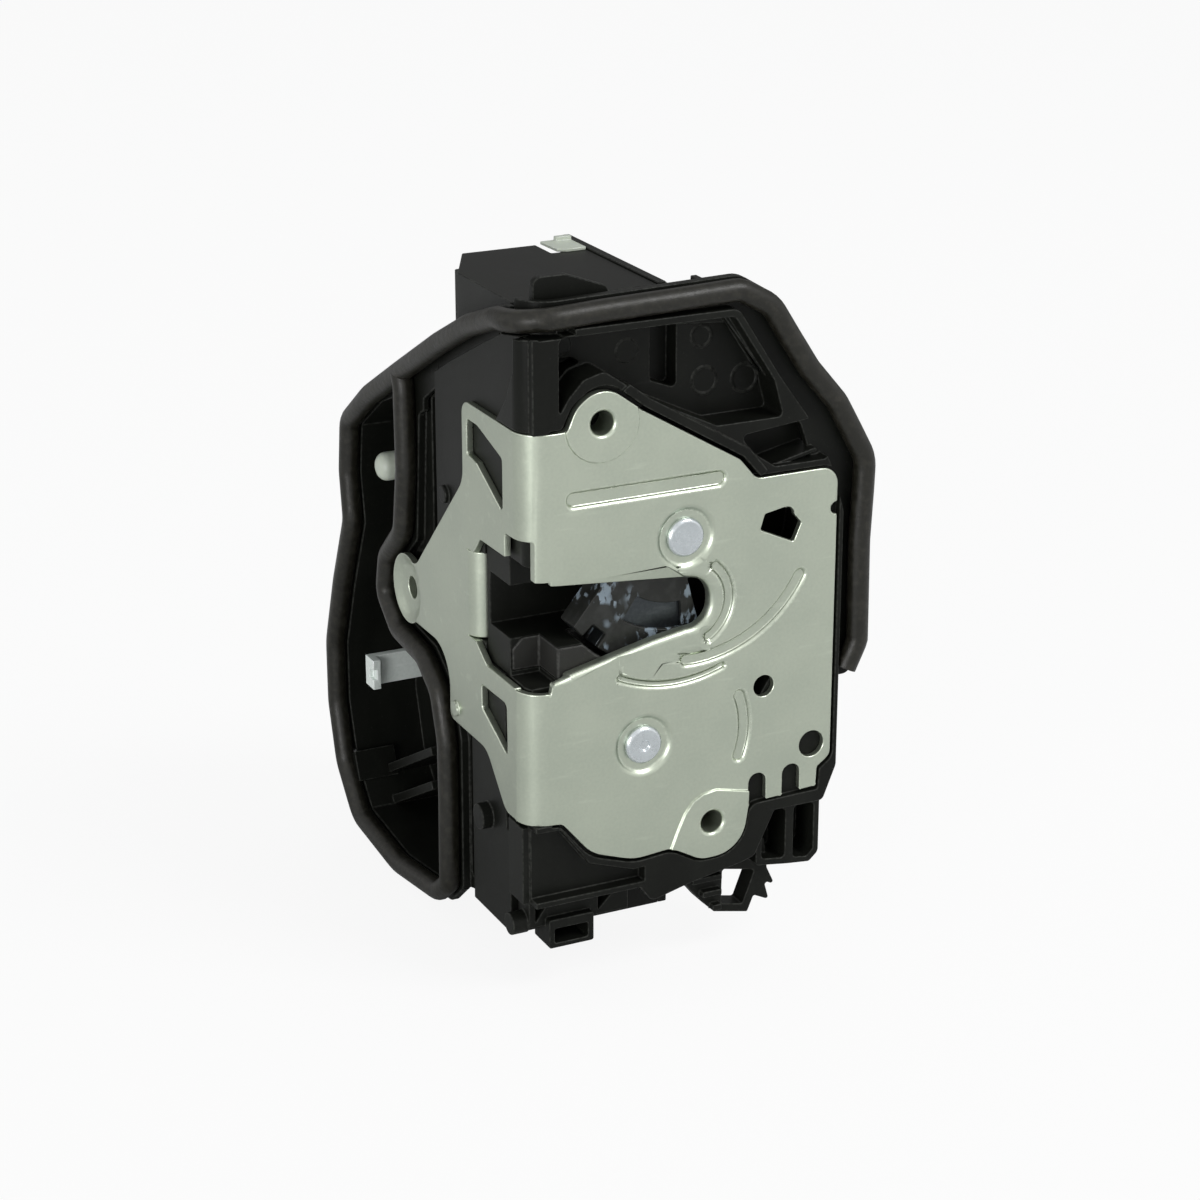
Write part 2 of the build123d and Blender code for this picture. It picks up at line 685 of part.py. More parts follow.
part_line = [(5.3, 21.2), (5.3, 12), (9, 5), (14.2, -0.7), (14.6, -0.7), (14.6, 21.2)]
column_outline = [(0.8, -0.7), (0.8, 20.8), (5.3, 20.8), (5.3, 12), (9, 5), (14.2, -0.7)]
front_block = [
    (-16, -91.2), (-10, -91.4), (-3, -100.8), (8, -104.6), (10.6, -104.4), (10.6, -108), (-16, -108),
]
under_block = [(-15, -109), (9.5, -109), (9.5, -117), (-15, -117)]
gusset_holes = [
    [(-13.4, -110.4), (-9.6, -110.4), (-13.4, -115.8)],
    [(2, -110.4), (7.4, -110.4), (2, -115.8)],
]
pocket_box = [(-11, -115), (0, -115), (0, -122), (-11, -122)]
pocket_box_hole = [(-9.6, -117.3), (-1.5, -117.3), (-1.5, -120.8), (-9.6, -120.8)]
right_box = [(40.3, -96.6), (56.7, -96.6), (56.7, -111.3), (54.3, -113.4), (48.6, -112.8), (40.3, -111.6)]
right_box_holes = [
    [(41.8, -98.6), (47.8, -98.6), (47.8, -111), (41.8, -110.2)],
    [(50, -98.6), (55.2, -98.6), (55.2, -110.4), (53.6, -111.9), (50, -111.4)],
]
clip_outline = [
    (20.8, -110.4), (28.2, -119.6), (31.6, -122.9), (40.3, -124.8), (41.9, -120.9), (46, -122.9),
    (44.6, -117.9), (47.5, -119.4), (45.3, -114.6), (44.4, -107), (36, -104),
]
clip_slot = [(33.6, -112.6), (42, -114.4), (38.9, -122.4), (33.4, -121.2)]
tab_outline = [(-12, 20), (-12, 30.5), (-4.5, 30.5), (5, 27), (6.2, 24), (6.2, 20)]
top_outline = [(-13.2, 20), (-13.2, box_top_z), (33, box_top_z), (37.5, 16)]

catch_roof = [(-20, 40), (70, 40), (70, -16.9), (37.9, -16.9), (33.6, -11.9), (10.1, 2.2), (-20, 22)]

with BuildPart() as frame_cut:
    front_disc(catch_centre, catch_radius + 1.2, slot_floor_y, slot_floor_y)
    front_slab(pawl_room, slot_floor_y, slot_floor_y, 2)
    front_slab(catch_roof, slot_floor_y + 1, slot_floor_y + 2, mode=Mode.SUBTRACT)

rim_band = [
    (4.6, 6.4), (10.1, 2.2), (33.6, -11.9), (37.9, -16.9), (39.6, -15.9), (35.0, -10.2), (11.0, 4.1),
    (6.2, 7.7),
]
rim_band_front_y = -0.7
rim_band_back_y = 4.4
side_room_rib = [(40.4, -16.2), (52.4, -13.6)]
moulded_marks = [((27.4, 13.5), 2.6), ((28.2, 3.6), 3.2), ((38, 3), 3.3)]
ejector_marks = [((-5.5, 15.6), 2.1), ((9.6, 12.4), 2.6)]
mark_height = 0.25
mark_line = 0.45

with BuildPart() as column:
    side_slab(column_outline, flank_x, 8)
    corner_edge = column.edges().filter_by(Axis.Z).group_by(Axis.Y)[0].group_by(Axis.X)[0]
    fillet(corner_edge, 5)

with BuildPart() as latch_frame:
    front_slab(rim_outline, frame_back_y, frame_back_y, rim_corner_radii)
    # Floors set back behind the rims
    front_slab(face_contour, plate_gauge, plate_gauge, face_contour_radii, Mode.SUBTRACT)
    front_slab(rim_room, rim_floor_y, rim_floor_y + 1, rim_room_radii, Mode.SUBTRACT)
    front_slab(rim_floor, rim_floor_y + rim_floor_gauge, rim_floor_gauge)
    front_slab(side_room, pocket_floor_y, pocket_floor_y, [1, 1.5, 1, 1, 1], Mode.SUBTRACT)
    front_slab(dark_room, slot_floor_y, slot_floor_y, 1.0, Mode.SUBTRACT)
    front_slab(left_room, slot_floor_y, slot_floor_y, 0.5, Mode.SUBTRACT)
    for mark, radius in moulded_marks:
        front_disc(mark, radius, rim_floor_y + 0.1, 0.1 + mark_height)
        front_disc(mark, radius - mark_line, rim_floor_y, mark_height, Mode.SUBTRACT)
    for mark, radius in ejector_marks:
        front_disc(mark, radius, rim_floor_y + 0.1, 0.1 + mark_height)
    box_between((flank_x - 1, -1, -89.9), (-12, bend_radius, -1), Mode.SUBTRACT)
    with BuildSketch(Plane.XY.offset(-89.9)) as corner_fill:
        with Locations((-12, bend_radius)):
            Circle(bend_radius - plate_gauge - frame_gap)
    extrude(corner_fill.sketch, amount=88.9)
    add(frame_cut.part, mode=Mode.SUBTRACT)
    with BuildSketch(face_plane(lip_depth + frame_gap)) as lip_room:
        outline(mouth_face_cut, mouth_face_radii)
        offset(amount=plate_gauge + frame_gap)
    extrude(lip_room.sketch, amount=lip_depth, mode=Mode.SUBTRACT)
    for run, width in pressed_runs:
        groove_room = plate_gauge + emboss_height + frame_gap
        run_slab(run, width + 2 * frame_gap, groove_room, groove_room, Mode.SUBTRACT)
    for centre in (upper_screw, lower_screw):
        front_disc(centre, collar_radius + frame_gap, collar_depth + 0.5, collar_depth, Mode.SUBTRACT)
    for centre in (catch_centre, pawl_centre):
        front_disc(centre, pivot_radius + running_gap, frame_back_y, frame_back_y, Mode.SUBTRACT)
    # Rim in front of the catch along the plate's slanting edge
    front_slab(rim_band, rim_band_back_y, rim_band_back_y - rim_band_front_y)
    run_slab(side_room_rib, 1.0, pocket_floor_y + 0.1, pocket_floor_y - 1.5)
    # Mouth box round the striker's path
    front_slab(mouth_box_outline, mouth_box_back_y, mouth_box_back_y - frame_floor_y)
    front_slab(guide_outline, guide_back_y, guide_back_y - guide_front_y, mode=Mode.SUBTRACT)
    box_between(
        (-18, -1, tunnel_low_z), (tunnel_end_x, guide_back_y, tunnel_high_z), Mode.SUBTRACT
    )
    box_between((-18, -1, -58.6), (-9, frame_floor_y, -31), Mode.SUBTRACT)
    box_between(
        (finger_slot_left, 11, finger_slot_low), (finger_slot_right, 15, finger_slot_high), Mode.SUBTRACT
    )
    # Corner column and the top behind the bead
    side_slab(part_line, flank_x - 1, 5.5, mode=Mode.SUBTRACT)
    add(column.part)
    front_slab(top_outline, frame_back_y, frame_back_y - 5.8)
    front_slab(tab_outline, 10, 2, [0, 2, 1, 1, 0.5, 0])
    box_between((28, 5.8, 23), (29.5, frame_back_y, 25.2))
    # Flange that carries the front run and the corner of the sealing bead
    front_slab(flange_outline, 5.8, flange_gauge, flange_radii)
    with BuildSketch(Plane.XY.offset(20.8)) as corner_ring:
        with Locations((-8.5, 10.5)):
            Circle(6.7)
            Circle(4.7, mode=Mode.SUBTRACT)
            with Locations((5, 0)):
                Rectangle(10, 30, mode=Mode.SUBTRACT)
            with Locations((0, 5)):
                Rectangle(30, 10, mode=Mode.SUBTRACT)
    extrude(corner_ring.sketch, amount=5.4)
    # Lower block, gusseted box, pockets and saw-tooth clip
    front_slab(front_block, block_front_y, block_front_y + 1, mode=Mode.SUBTRACT)
    box_between((-17.6, 3.5, -109.4), (-15.8, 11, -91))
    front_slab(under_block, block_back_y, 6)
    for hole in gusset_holes:
        front_slab(hole, 11, 6, mode=Mode.SUBTRACT)
    front_slab(pocket_box, block_back_y, 8, 0.6)
    front_slab(pocket_box_hole, 10.5, 8, 0.5, Mode.SUBTRACT)
    side_disc((9, -116.2), 2.6, -18.6, 4)
    front_slab(right_box, block_back_y, 9.5, [0, 0, 2, 1, 2, 1])
    for hole in right_box_holes:
        front_slab(hole, 10.5, 10, 1.0, Mode.SUBTRACT)
    front_slab(clip_outline, 11, 5, 0.5)
    front_slab(clip_slot, 12, 8, 0.6, Mode.SUBTRACT)
    for level in (-113.4, -117.2, -121):
        box_between((25 + (-113.4 - level) * 0.7, 4.2, level - 0.7), (32.6, 6.4, level + 0.7))
    box_between((-19, 12.2, -125), (23, 15, -95.7), Mode.SUBTRACT)
    box_between((-19, -2, 19.6), (-6, 3.7, 30), Mode.SUBTRACT)
    box_between((-19, 3, 19), (-15.3, 14.6, 30), Mode.SUBTRACT)
    with BuildSketch(Plane.XY.offset(19.2)) as bead_room:
        with Locations((-8.5, 10.5)):
            Circle(12)
            Circle(6.75, mode=Mode.SUBTRACT)
            with Locations((6, 0)):
                Rectangle(12, 30, mode=Mode.SUBTRACT)
            with Locations((0, 6)):
                Rectangle(30, 12, mode=Mode.SUBTRACT)
    extrude(bead_room.sketch, amount=10, mode=Mode.SUBTRACT)

latch_frame.part.label = "latch_frame"
export_step(latch_frame.part, "parts/latch_frame.step")

with BuildPart() as striker_guide:
    front_slab(guide_outline, guide_back_y, guide_back_y - guide_front_y)
    front_disc(catch_centre, catch_radius + 1.2, frame_floor_y, frame_floor_y, Mode.SUBTRACT)
    box_between((flank_x, -1, -60), (-9, 12.5, -50), Mode.SUBTRACT)

striker_guide.part.label = "striker_guide"
export_step(striker_guide.part, "parts/striker_guide.step")

with BuildPart() as striker_buffer:
    box_between((21.7, 15, tunnel_low_z), (tunnel_end_x, guide_back_y, tunnel_high_z))
    nose_edges = striker_buffer.edges().filter_by(Axis.Y).group_by(Axis.X)[0]
    fillet(nose_edges, 1.5)

striker_buffer.part.label = "striker_buffer"
export_step(striker_buffer.part, "parts/striker_buffer.step")


# Sealing bead: front run, corner, outer flank loop and inner branch in one cord

front_run = [
    (61.7, -66.2), (64.6, -60), (64.3, -36), (64.9, -24), (65.1, -17), (61.3, -10), (57.5, -3.2),
    (50.3, 5.3), (45.1, 13.3), (40.6, 20.4), (33, 24.5), (17, 24), (0, 23.6),
]
outer_run = [
    (13.8, 21.3), (27.9, 16.4), (44.6, 8.3), (68.3, -4.4), (87.3, -14.8), (100.9, -24.6),
    (102.6, -37.6), (101, -49.8), (109.1, -67.9), (115.5, -86), (115.5, -102.2), (111.2, -117),
    (101.2, -128), (76.3, -130.5), (51.2, -127), (45.1, -122),
]
inner_run = [
    (44.6, -100.8), (44.8, -86), (48.5, -75), (57, -69.5), (72.2, -68), (80.6, -61.1), (78.4, -51.6),
    (68.6, -42.5), (66, -27), (66, -14),
]
bead_points = (
    [(x, face_bead_y, z) for x, z in front_run]
    + [(flank_bead_x, face_bead_y, 22.8)]
    + [(flank_bead_x, y, z) for y, z in outer_run + inner_run]
)
bead_turns = (
    [1.5, 4, 20, 8, 4, 8, 8, 8, 8, 3.5, 10, 30]
    + [bead_corner_radius]
    + [3, 20, 20, 20, 20, 5, 6, 6, 20, 12, 10, 8, 8, 20, 8, 3]
    + [20, 10, 6, 6, 4.5, 4, 4.5, 6, 10]
)

with BuildPart() as bead_cord:
    with BuildLine() as bead_path:
        FilletPolyline(*bead_points, radius=bead_turns)
    cord_path = bead_path.line
    with BuildSketch(Plane(origin=cord_path @ 0, z_dir=cord_path % 0)) as cord_section:
        Circle(bead_radius)
    sweep(sections=cord_section.sketch, path=cord_path)

flange_front_y = 3.8
flange_left_x = -15.2

with BuildPart() as seal_bead:
    add(bead_cord.part)
    with BuildSketch(Plane(origin=(flank_bead_x, 66, -20), z_dir=(0, 0, 1))):
        Circle(bead_radius)
    extrude(amount=15)
    box_between((-8.5, flange_front_y, -80), (75, 12, 30), Mode.SUBTRACT)
    box_between((flange_left_x, 10.5, -140), (0, 125, 30), Mode.SUBTRACT)
    with BuildSketch(Plane.XY.offset(10)) as corner_room:
        with Locations((-8.5, 10.5)):
            Circle(6.7)
    extrude(corner_room.sketch, amount=20, mode=Mode.SUBTRACT)

seal_bead.part.label = "seal_bead"
export_step(seal_bead.part, "parts/seal_bead.step")


# Actuator case: rear leg with box, tray, flank pad, sealing flange and connector socket


def side_sheet(points, grow, left_x, thickness, mode=Mode.ADD):
    """Slab of a (Y, Z) outline grown by a margin, in the current part."""
    with BuildSketch(side_plane(left_x)) as profile:
        outline(points)
        offset(amount=grow)
    extrude(profile.sketch, amount=thickness, mode=mode)


tray_loop = [
    (66, -6), (87, -14.8), (101, -24.5), (103, -38), (101, -50), (109, -68), (115.5, -86),
    (115.5, -102), (111, -117), (101, -128), (76, -130.5), (51, -127), (45.2, -122), (44.8, -86),
    (48.5, -75), (57, -69.5), (72, -68), (80.5, -61), (78.5, -51.8), (68.6, -43), (66, -13),
]
lead_run = [
    (12.4, 21.4), (14.4, 21.2), (27.9, 16.4), (44.6, 8.3), (68.3, -4.4), (66, -12), (50, -3),
    (26, 11), (12.4, 15),
]
body_outline = [
    (14.8, box_top_z), (box_back_y, box_top_z), (box_back_y, 1.5), (66, -5.6), (87, -14.4),
    (101.3, -24.2), (103.4, -38), (101.3, -50), (109.4, -68), (115.9, -86), (115.9, -102),
    (111.3, -117.3), (101.2, -128.4), (76, -130.9), (50.8, -127.4), (44, -123.6), (33, -121),
    (12.5, -121), (12.5, -96.2), (core_front_y, -96), (core_front_y, -61), (27, -60), (27, -29),
    (core_front_y, -28), (core_front_y, -14), (14.8, -12),
]
cavity_outline = [
    (20.6, 21.6), (42, 21.6), (42, 1.5), (56, 0), (67, -8), (85.8, -16.8), (98.8, -25.8),
    (101, -38), (98.8, -50.5), (106.9, -68.8), (113.4, -86.4), (113.4, -101.5), (109, -116),
    (100, -126), (76, -128.4), (51.8, -125), (44.5, -121), (33.4, -118.6), (15, -118.6),
    (15, -98.4), (20.6, -98.4), (20.6, -58), (29.4, -57), (29.4, -26), (20.6, -25),
]
pad_outline = [
    (14.8, 17.6), (26, 12.5), (42.6, 4.6), (51, 0.2), (51, -39), (63, -48), (70.5, -49.5),
    (72.4, -53), (72.4, -60), (70, -62), (41.5, -62.8), (39, -78), (33.5, -80), (33.5, -121), (13, -121), (13, -96.2), (14.8, -95.8),
]
front_wall = [(5.6, 19.3), (5.6, 12.1), (9.2, 5.2), (14.5, -0.4), (16, -0.4), (16, 17.3)]
rear_channel = [(51, -3), (60.5, -9), (60.5, -49), (51, -40)]
low_channel = [(34.5, -82), (42, -84), (42, -120), (34.5, -117)]
body_left_x = -13.2
box_left_x = -13.8
pad_left_x = flank_x + plate_gauge
motor_bay_left_x = -6.0
cavity_floor_x = tray_floor_x + tray_floor_gauge

motor_centre = (8.5, 40.5)
motor_flat_width = 15.2
motor_flat_low_y = motor_centre[1] - motor_flat_width / 2
motor_flat_high_y = motor_centre[1] + motor_flat_width / 2
lever_plane_x = 11.0
lock_lever_pivot = (80.84, -52.17)
lock_finger = (88.0, -33.0)
lock_finger_radius = 3.4
lock_lever_turn = 25.0
outer_lever_pivot = (92.0, -108.0)
inner_lever_pivot = (52.0, -116.0)
inner_finger = (62.0, -97.0)
inner_finger_radius = 2.5
inner_lever_turn = 25.0
lever_bore = 2.0
lever_travel_gap = 0.6
cover_screw_length = 9.0
cover_screw_points = [
    (18.4, 20.2), (40, 18.4), (97.6, -28), (105, -71), (109, -108), (62, -123.4), (18, -113),
]


def arc_slot(pivot, finger, finger_radius, turn):
    """Slot that a finger sweeps round a pivot, as a sketch on the tray floor."""
    reach = math.hypot(finger[0] - pivot[0], finger[1] - pivot[1])
    start = math.degrees(math.atan2(finger[1] - pivot[1], finger[0] - pivot[0]))
    with BuildLine(mode=Mode.PRIVATE) as middle:
        CenterArc(pivot, reach, start + min(turn, 0) - 1, abs(turn) + 2)
    slot = middle.wire().offset_2d(finger_radius + lever_travel_gap, kind=Kind.ARC)
    make_face(slot.edges())


with BuildPart() as actuator_case:
    # Box and the body behind the tray
    box_between((box_left_x, 14.8, -12), (case_right_x, box_back_y, box_top_z))
    with BuildSketch(Plane.XY.offset(-27)) as rear_bevel:
        outline([(-6, box_back_y + 0.1), (-20.5, 29), (-24, 29), (-24, 60), (-6, 60)])
    extrude(rear_bevel.sketch, amount=60, mode=Mode.SUBTRACT)
    side_slab(body_outline, body_left_x, case_right_x - body_left_x)
    box_between((-14, 46, 4), (-5, 60, 25), Mode.SUBTRACT)
    with BuildSketch(Plane.XY.offset(-2)) as rear_fill:
        outline([(-5, box_back_y), (-5, 45), (-12.7, 45), (-6, box_back_y)])
    extrude(rear_fill.sketch, amount=box_top_z + 2)
    side_slab(pad_outline, pad_left_x, body_left_x - pad_left_x + 3)
    # Flange that carries the bead
    side_sheet(tray_loop, bead_radius + 0.1, flange_left_x, 2)
    side_sheet(lead_run, bead_radius, flange_left_x, box_left_x - flange_left_x)
    box_between((-17, 0, 8), (box_left_x, 12.2, 30), Mode.SUBTRACT)
    side_slab(front_wall, pad_left_x, box_left_x - pad_left_x)
    # Tray, channels and the room for the drive
    side_sheet(tray_loop, -2, -17, tray_floor_x + 17, Mode.SUBTRACT)
    side_slab(rear_channel, -17, channel_depth + 2, 1.0, Mode.SUBTRACT)
    side_slab(low_channel, -17, channel_depth + 2, 1.0, Mode.SUBTRACT)
    side_slab(cavity_outline, cavity_floor_x, case_right_x - cavity_floor_x, mode=Mode.SUBTRACT)
    bay_foot_z = motor_foot_z - 6
    bay_top_z = motor_top_z + 1.5
    box_between((motor_bay_left_x, 29.4, bay_foot_z), (cavity_floor_x, 52, bay_top_z), Mode.SUBTRACT)
    box_between((2.5, 34, -54), (cavity_floor_x + 0.1, 47, -33), Mode.SUBTRACT)
    for low_y, high_y in ((29, motor_flat_low_y), (motor_flat_high_y, 50.5)):
        box_between((motor_bay_left_x - 1, low_y, motor_foot_z + 2), (14, high_y, motor_top_z - 3))
    box_between((-18, 14, -58.9), (26, 24.9, -30.7), Mode.SUBTRACT)
    box_between((-18, 24, -55.1), (-0.7, 28.5, -34.5), Mode.SUBTRACT)
    box_between((-18, 26, -55.1), (-13.7, 30.8, -34.5), Mode.SUBTRACT)
    # Boss and bore behind the flank screw
    side_disc(flank_screw, collar_radius + 4, -14.5, 6)
    side_disc(flank_screw, dish_radius + frame_gap, -18, 4.2, Mode.SUBTRACT)
    side_disc(flank_screw, collar_radius + frame_gap, -18, 8, Mode.SUBTRACT)
    # Connector socket in the rear face of the box
    box_between((-2, 44, 4), (18, 60, 21), Mode.SUBTRACT)
    box_between((12, 50, 20), (18, 60, 25), Mode.SUBTRACT)
    # Openings that the levers reach through
    with BuildSketch(side_plane(tray_floor_x - 1)) as finger_slot:
        arc_slot(lock_lever_pivot, lock_finger, lock_finger_radius, lock_lever_turn)
    extrude(finger_slot.sketch, amount=tray_floor_gauge + 2, mode=Mode.SUBTRACT)
    with BuildSketch(side_plane(tray_floor_x - 1)) as cable_slot:
        arc_slot(inner_lever_pivot, inner_finger, inner_finger_radius, -inner_lever_turn)
    extrude(cable_slot.sketch, amount=tray_floor_gauge + 2, mode=Mode.SUBTRACT)
    box_between((2, 80.8, -89.4), (6, 90.5, -78.6), Mode.SUBTRACT)
    box_between((2, 14.3, -89), (14, 21, -79.6), Mode.SUBTRACT)
    box_between((12, 14.3, -89), (20.4, 21, -79.6), Mode.SUBTRACT)
    # Cable trough across the tray and its notch in the rim
    for shift in (0, 9):
        side_slab(
            [(75, -112.3 + shift), (103.5, -128 + shift), (104.5, -126 + shift), (76, -110.3 + shift)],
            -9, tray_floor_x + 9.5,
        )
    side_slab([(104, -128), (110, -114), (116, -118), (108, -131)], -17, 11, mode=Mode.SUBTRACT)
    for point in cover_screw_points:
        side_disc(point, cover_screw_radius + 1.9, cavity_floor_x, case_right_x - cavity_floor_x)
        side_disc(point, cover_screw_radius, case_right_x - cover_screw_length, 20, Mode.SUBTRACT)
    # Small bosses on the flank
    side_disc((24.5, -96.4), 3, -19, 4)
    side_disc((45.6, -26.8), 2, -17.4, 2)

actuator_case.part.label = "actuator_case"
export_step(actuator_case.part, "parts/actuator_case.step")


with BuildPart() as case_cover:
    side_slab(body_outline, case_right_x, cover_gauge)
    side_sheet(body_outline, -9, case_right_x + cover_gauge, 0.8)
    box_between((case_right_x, 14.8, 23), (case_right_x + cover_gauge, 63, 24.5))
    for point in cover_screw_points:
        side_disc(point, cover_screw_radius, case_right_x - 1, 5, Mode.SUBTRACT)

case_cover.part.label = "case_cover"
export_step(case_cover.part, "parts/case_cover.step")

# Pale cap on the rear top corner of the case

cap_outline = [(13, 58.5), (20.2, 58.5), (20.2, 49.3), (15.4, 49.3), (13.4, 50.3)]
cap_gauge = 0.7
cap_tab_height = 1.6

with BuildPart() as corner_cap:
    with BuildSketch(Plane.XY.offset(box_top_z)) as cap_face:
        outline(cap_outline, 0.4)
    extrude(amount=cap_gauge)
    box_between((16.4, 57, box_top_z), (20.2, 58.5, box_top_z + cap_tab_height))

corner_cap.part.label = "corner_cap"
export_step(corner_cap.part, "parts/corner_cap.step")

with BuildPart() as cover_screws:
    for point in cover_screw_points:
        shank_left_x = case_right_x - cover_screw_length
        side_disc(point, cover_screw_radius - running_gap, shank_left_x, cover_screw_length + cover_gauge)
        side_disc(point, cover_head_radius, case_right_x + cover_gauge, 1.8)
        with BuildSketch(side_plane(case_right_x + cover_gauge + 0.8)) as drive:
            with Locations(point):
                RegularPolygon(1.5, 6)
        extrude(drive.sketch, amount=1.2, mode=Mode.SUBTRACT)

cover_screws.part.label = "cover_screws"
export_step(cover_screws.part, "parts/cover_screws.step")


# Drive: motor with worm, worm wheel with pinion, and the lock lever

wheel_centre = (58.0, -42.0)
shaft_radius = 1.2
wheel_radius = module * wheel_teeth / 2
pinion_radius = module * pinion_teeth / 2
sector_radius = module * sector_teeth / 2
wheel_left_x = 6.5
axle_radius = 2.0
tooth_width = 1.15


def gear_teeth(root_radius, pitch_radius, tip_radius, turns):
    """Straight-sided teeth about the sketch origin at a run of angles."""
    root_half = tooth_width * 0.75
    tip_half = tooth_width * 0.35
    foot_radius = root_radius - 0.5
    for turn in turns:
        along = polar(1, turn)
        across = (-along[1], along[0])
        corners = [
            (foot_radius, -root_half), (tip_radius, -tip_half), (tip_radius, tip_half),
            (foot_radius, root_half),
        ]
        outline([tuple(u * along[i] + v * across[i] for i in range(2)) for u, v in corners])


with BuildPart() as dc_motor:
    with BuildSketch(Plane.XY.offset(motor_foot_z)) as can:
        with Locations(motor_centre):
            Circle(motor_radius)
            Rectangle(2 * motor_radius, motor_flat_width, mode=Mode.INTERSECT)
    extrude(amount=motor_length)
    can_edges = dc_motor.edges().group_by(Axis.Z)[0] + dc_motor.edges().group_by(Axis.Z)[-1]
    fillet(can_edges, 0.8)
    with BuildSketch(Plane.XY.offset(motor_foot_z - motor_nose_height)) as nose:
        with Locations(motor_centre):
            Circle(3)
    extrude(amount=1.8)

dc_motor.part.label = "dc_motor"
export_step(dc_motor.part, "parts/dc_motor.step")

worm_lead = math.pi * module
worm_root_radius = 2.4
worm_tip_radius = 4.5
worm_low_z = -51.0
worm_high_z = -33.0
motor_nose_z = motor_foot_z - motor_nose_height
thread_foot_z = worm_centre_z - 2.25 * worm_lead

with BuildPart() as motor_worm:
    with BuildSketch(Plane.XY.offset(worm_low_z)) as worm_body:
        with Locations(motor_centre):
            Circle(worm_root_radius)
    extrude(amount=worm_high_z - worm_low_z)
    with BuildSketch(Plane.XY.offset(worm_high_z)) as worm_shaft:
        with Locations(motor_centre):
            Circle(shaft_radius)
    extrude(amount=motor_nose_z - worm_high_z)
    thread_foot = (*motor_centre, thread_foot_z)
    with BuildLine() as thread_line:
        Helix(worm_lead, 4.5 * worm_lead, worm_root_radius, center=thread_foot)
    thread_path = thread_line.line
    section_plane = Plane(origin=thread_path @ 0, x_dir=(1, 0, 0), z_dir=thread_path % 0)
    with BuildSketch(section_plane) as thread_section:
        thread_reach = worm_tip_radius - worm_root_radius
        outline([(-0.4, -0.72), (thread_reach, -0.34), (thread_reach, 0.34), (-0.4, 0.72)])
    sweep(sections=thread_section.sketch, path=thread_path, is_frenet=True)

motor_worm.part.label = "motor_worm"
export_step(motor_worm.part, "parts/motor_worm.step")

with BuildPart() as worm_wheel:
    wheel_plane = Plane.YZ.offset(wheel_left_x).shift_origin((wheel_left_x, *wheel_centre))
    wheel_pitch = 360 / wheel_teeth
    with BuildSketch(wheel_plane) as wheel_shape:
        Circle(wheel_radius - 1.2)
        turns = [180 + wheel_pitch * (step + 0.5) for step in range(wheel_teeth)]
        gear_teeth(wheel_radius - 1.2, wheel_radius, wheel_radius + 0.9, turns)
    extrude(amount=wheel_face)
    with BuildSketch(wheel_plane) as web:
        Circle(wheel_radius - 3)
        Circle(pinion_radius + 2.5, mode=Mode.SUBTRACT)
    extrude(amount=1.2, mode=Mode.SUBTRACT)
    mesh_turn = math.degrees(
        math.atan2(lock_lever_pivot[1] - wheel_centre[1], lock_lever_pivot[0] - wheel_centre[0])
    )
    pinion_plane = wheel_plane.offset(wheel_face)
    with BuildSketch(pinion_plane) as pinion_shape:
        Circle(pinion_radius - 1.2)
        turns = [mesh_turn + 360 / pinion_teeth * step for step in range(pinion_teeth)]
        gear_teeth(pinion_radius - 1.2, pinion_radius, pinion_radius + 0.9, turns)
    extrude(amount=wheel_face)
    side_disc(wheel_centre, axle_radius + running_gap, wheel_left_x - 1, 12, Mode.SUBTRACT)

worm_wheel.part.label = "worm_wheel"
export_step(worm_wheel.part, "parts/worm_wheel.step")

with BuildPart() as wheel_axle:
    side_disc(wheel_centre, axle_radius, cavity_floor_x, case_right_x - cavity_floor_x)

wheel_axle.part.label = "wheel_axle"
export_step(wheel_axle.part, "parts/wheel_axle.step")

with BuildPart() as lever_pivots:
    for pivot in (lock_lever_pivot, outer_lever_pivot, inner_lever_pivot):
        side_disc(pivot, lever_bore, cavity_floor_x, case_right_x - cavity_floor_x)

lever_pivots.part.label = "lever_pivots"
export_step(lever_pivots.part, "parts/lever_pivots.step")


def lever_arm(pivot, tip, hub_radius, tip_radius):
    """Tapered arm from a hub to a tip, in the current (Y, Z) sketch."""
    run = math.hypot(tip[0] - pivot[0], tip[1] - pivot[1])
    across = ((pivot[1] - tip[1]) / run, (tip[0] - pivot[0]) / run)
    corners = [
        (point[0] + side * across[0] * radius, point[1] + side * across[1] * radius)
        for point, side, radius in (
            (pivot, 1, hub_radius), (tip, 1, tip_radius), (tip, -1, tip_radius), (pivot, -1, hub_radius),
        )
    ]
    outline(corners)
    for point, radius in ((pivot, hub_radius), (tip, tip_radius)):
        with Locations(point):
            Circle(radius)


lock_finger_tip_x = -16.0

with BuildPart() as lock_lever:
    lever_plane = Plane.YZ.offset(lever_plane_x).shift_origin((lever_plane_x, *lock_lever_pivot))
    sector_pitch = 360 / sector_teeth
    sector_turn = mesh_turn + 180
    with BuildSketch(lever_plane) as sector_shape:
        outline(sector_points(sector_turn - 44, sector_turn + 18, 2 * sector_radius))
        Circle(sector_radius - 1.3, mode=Mode.INTERSECT)
        turns = [sector_turn + sector_pitch * (step + 0.5) for step in range(-5, 2)]
        gear_teeth(sector_radius - 1.3, sector_radius, sector_radius + 0.9, turns)
        Circle(6)
    extrude(amount=lever_gauge)
    with BuildSketch(side_plane(lever_plane_x)) as finger_arm:
        lever_arm(lock_lever_pivot, lock_finger, 6, lock_finger_radius)
    extrude(amount=lever_gauge)
    side_disc(lock_finger, lock_finger_radius, lock_finger_tip_x, lever_plane_x - lock_finger_tip_x)
    finger_tip = lock_lever.edges().group_by(Axis.X)[0]
    fillet(finger_tip, 2.4)
    side_disc(lock_lever_pivot, lever_bore + running_gap, lever_plane_x - 1, 6, Mode.SUBTRACT)

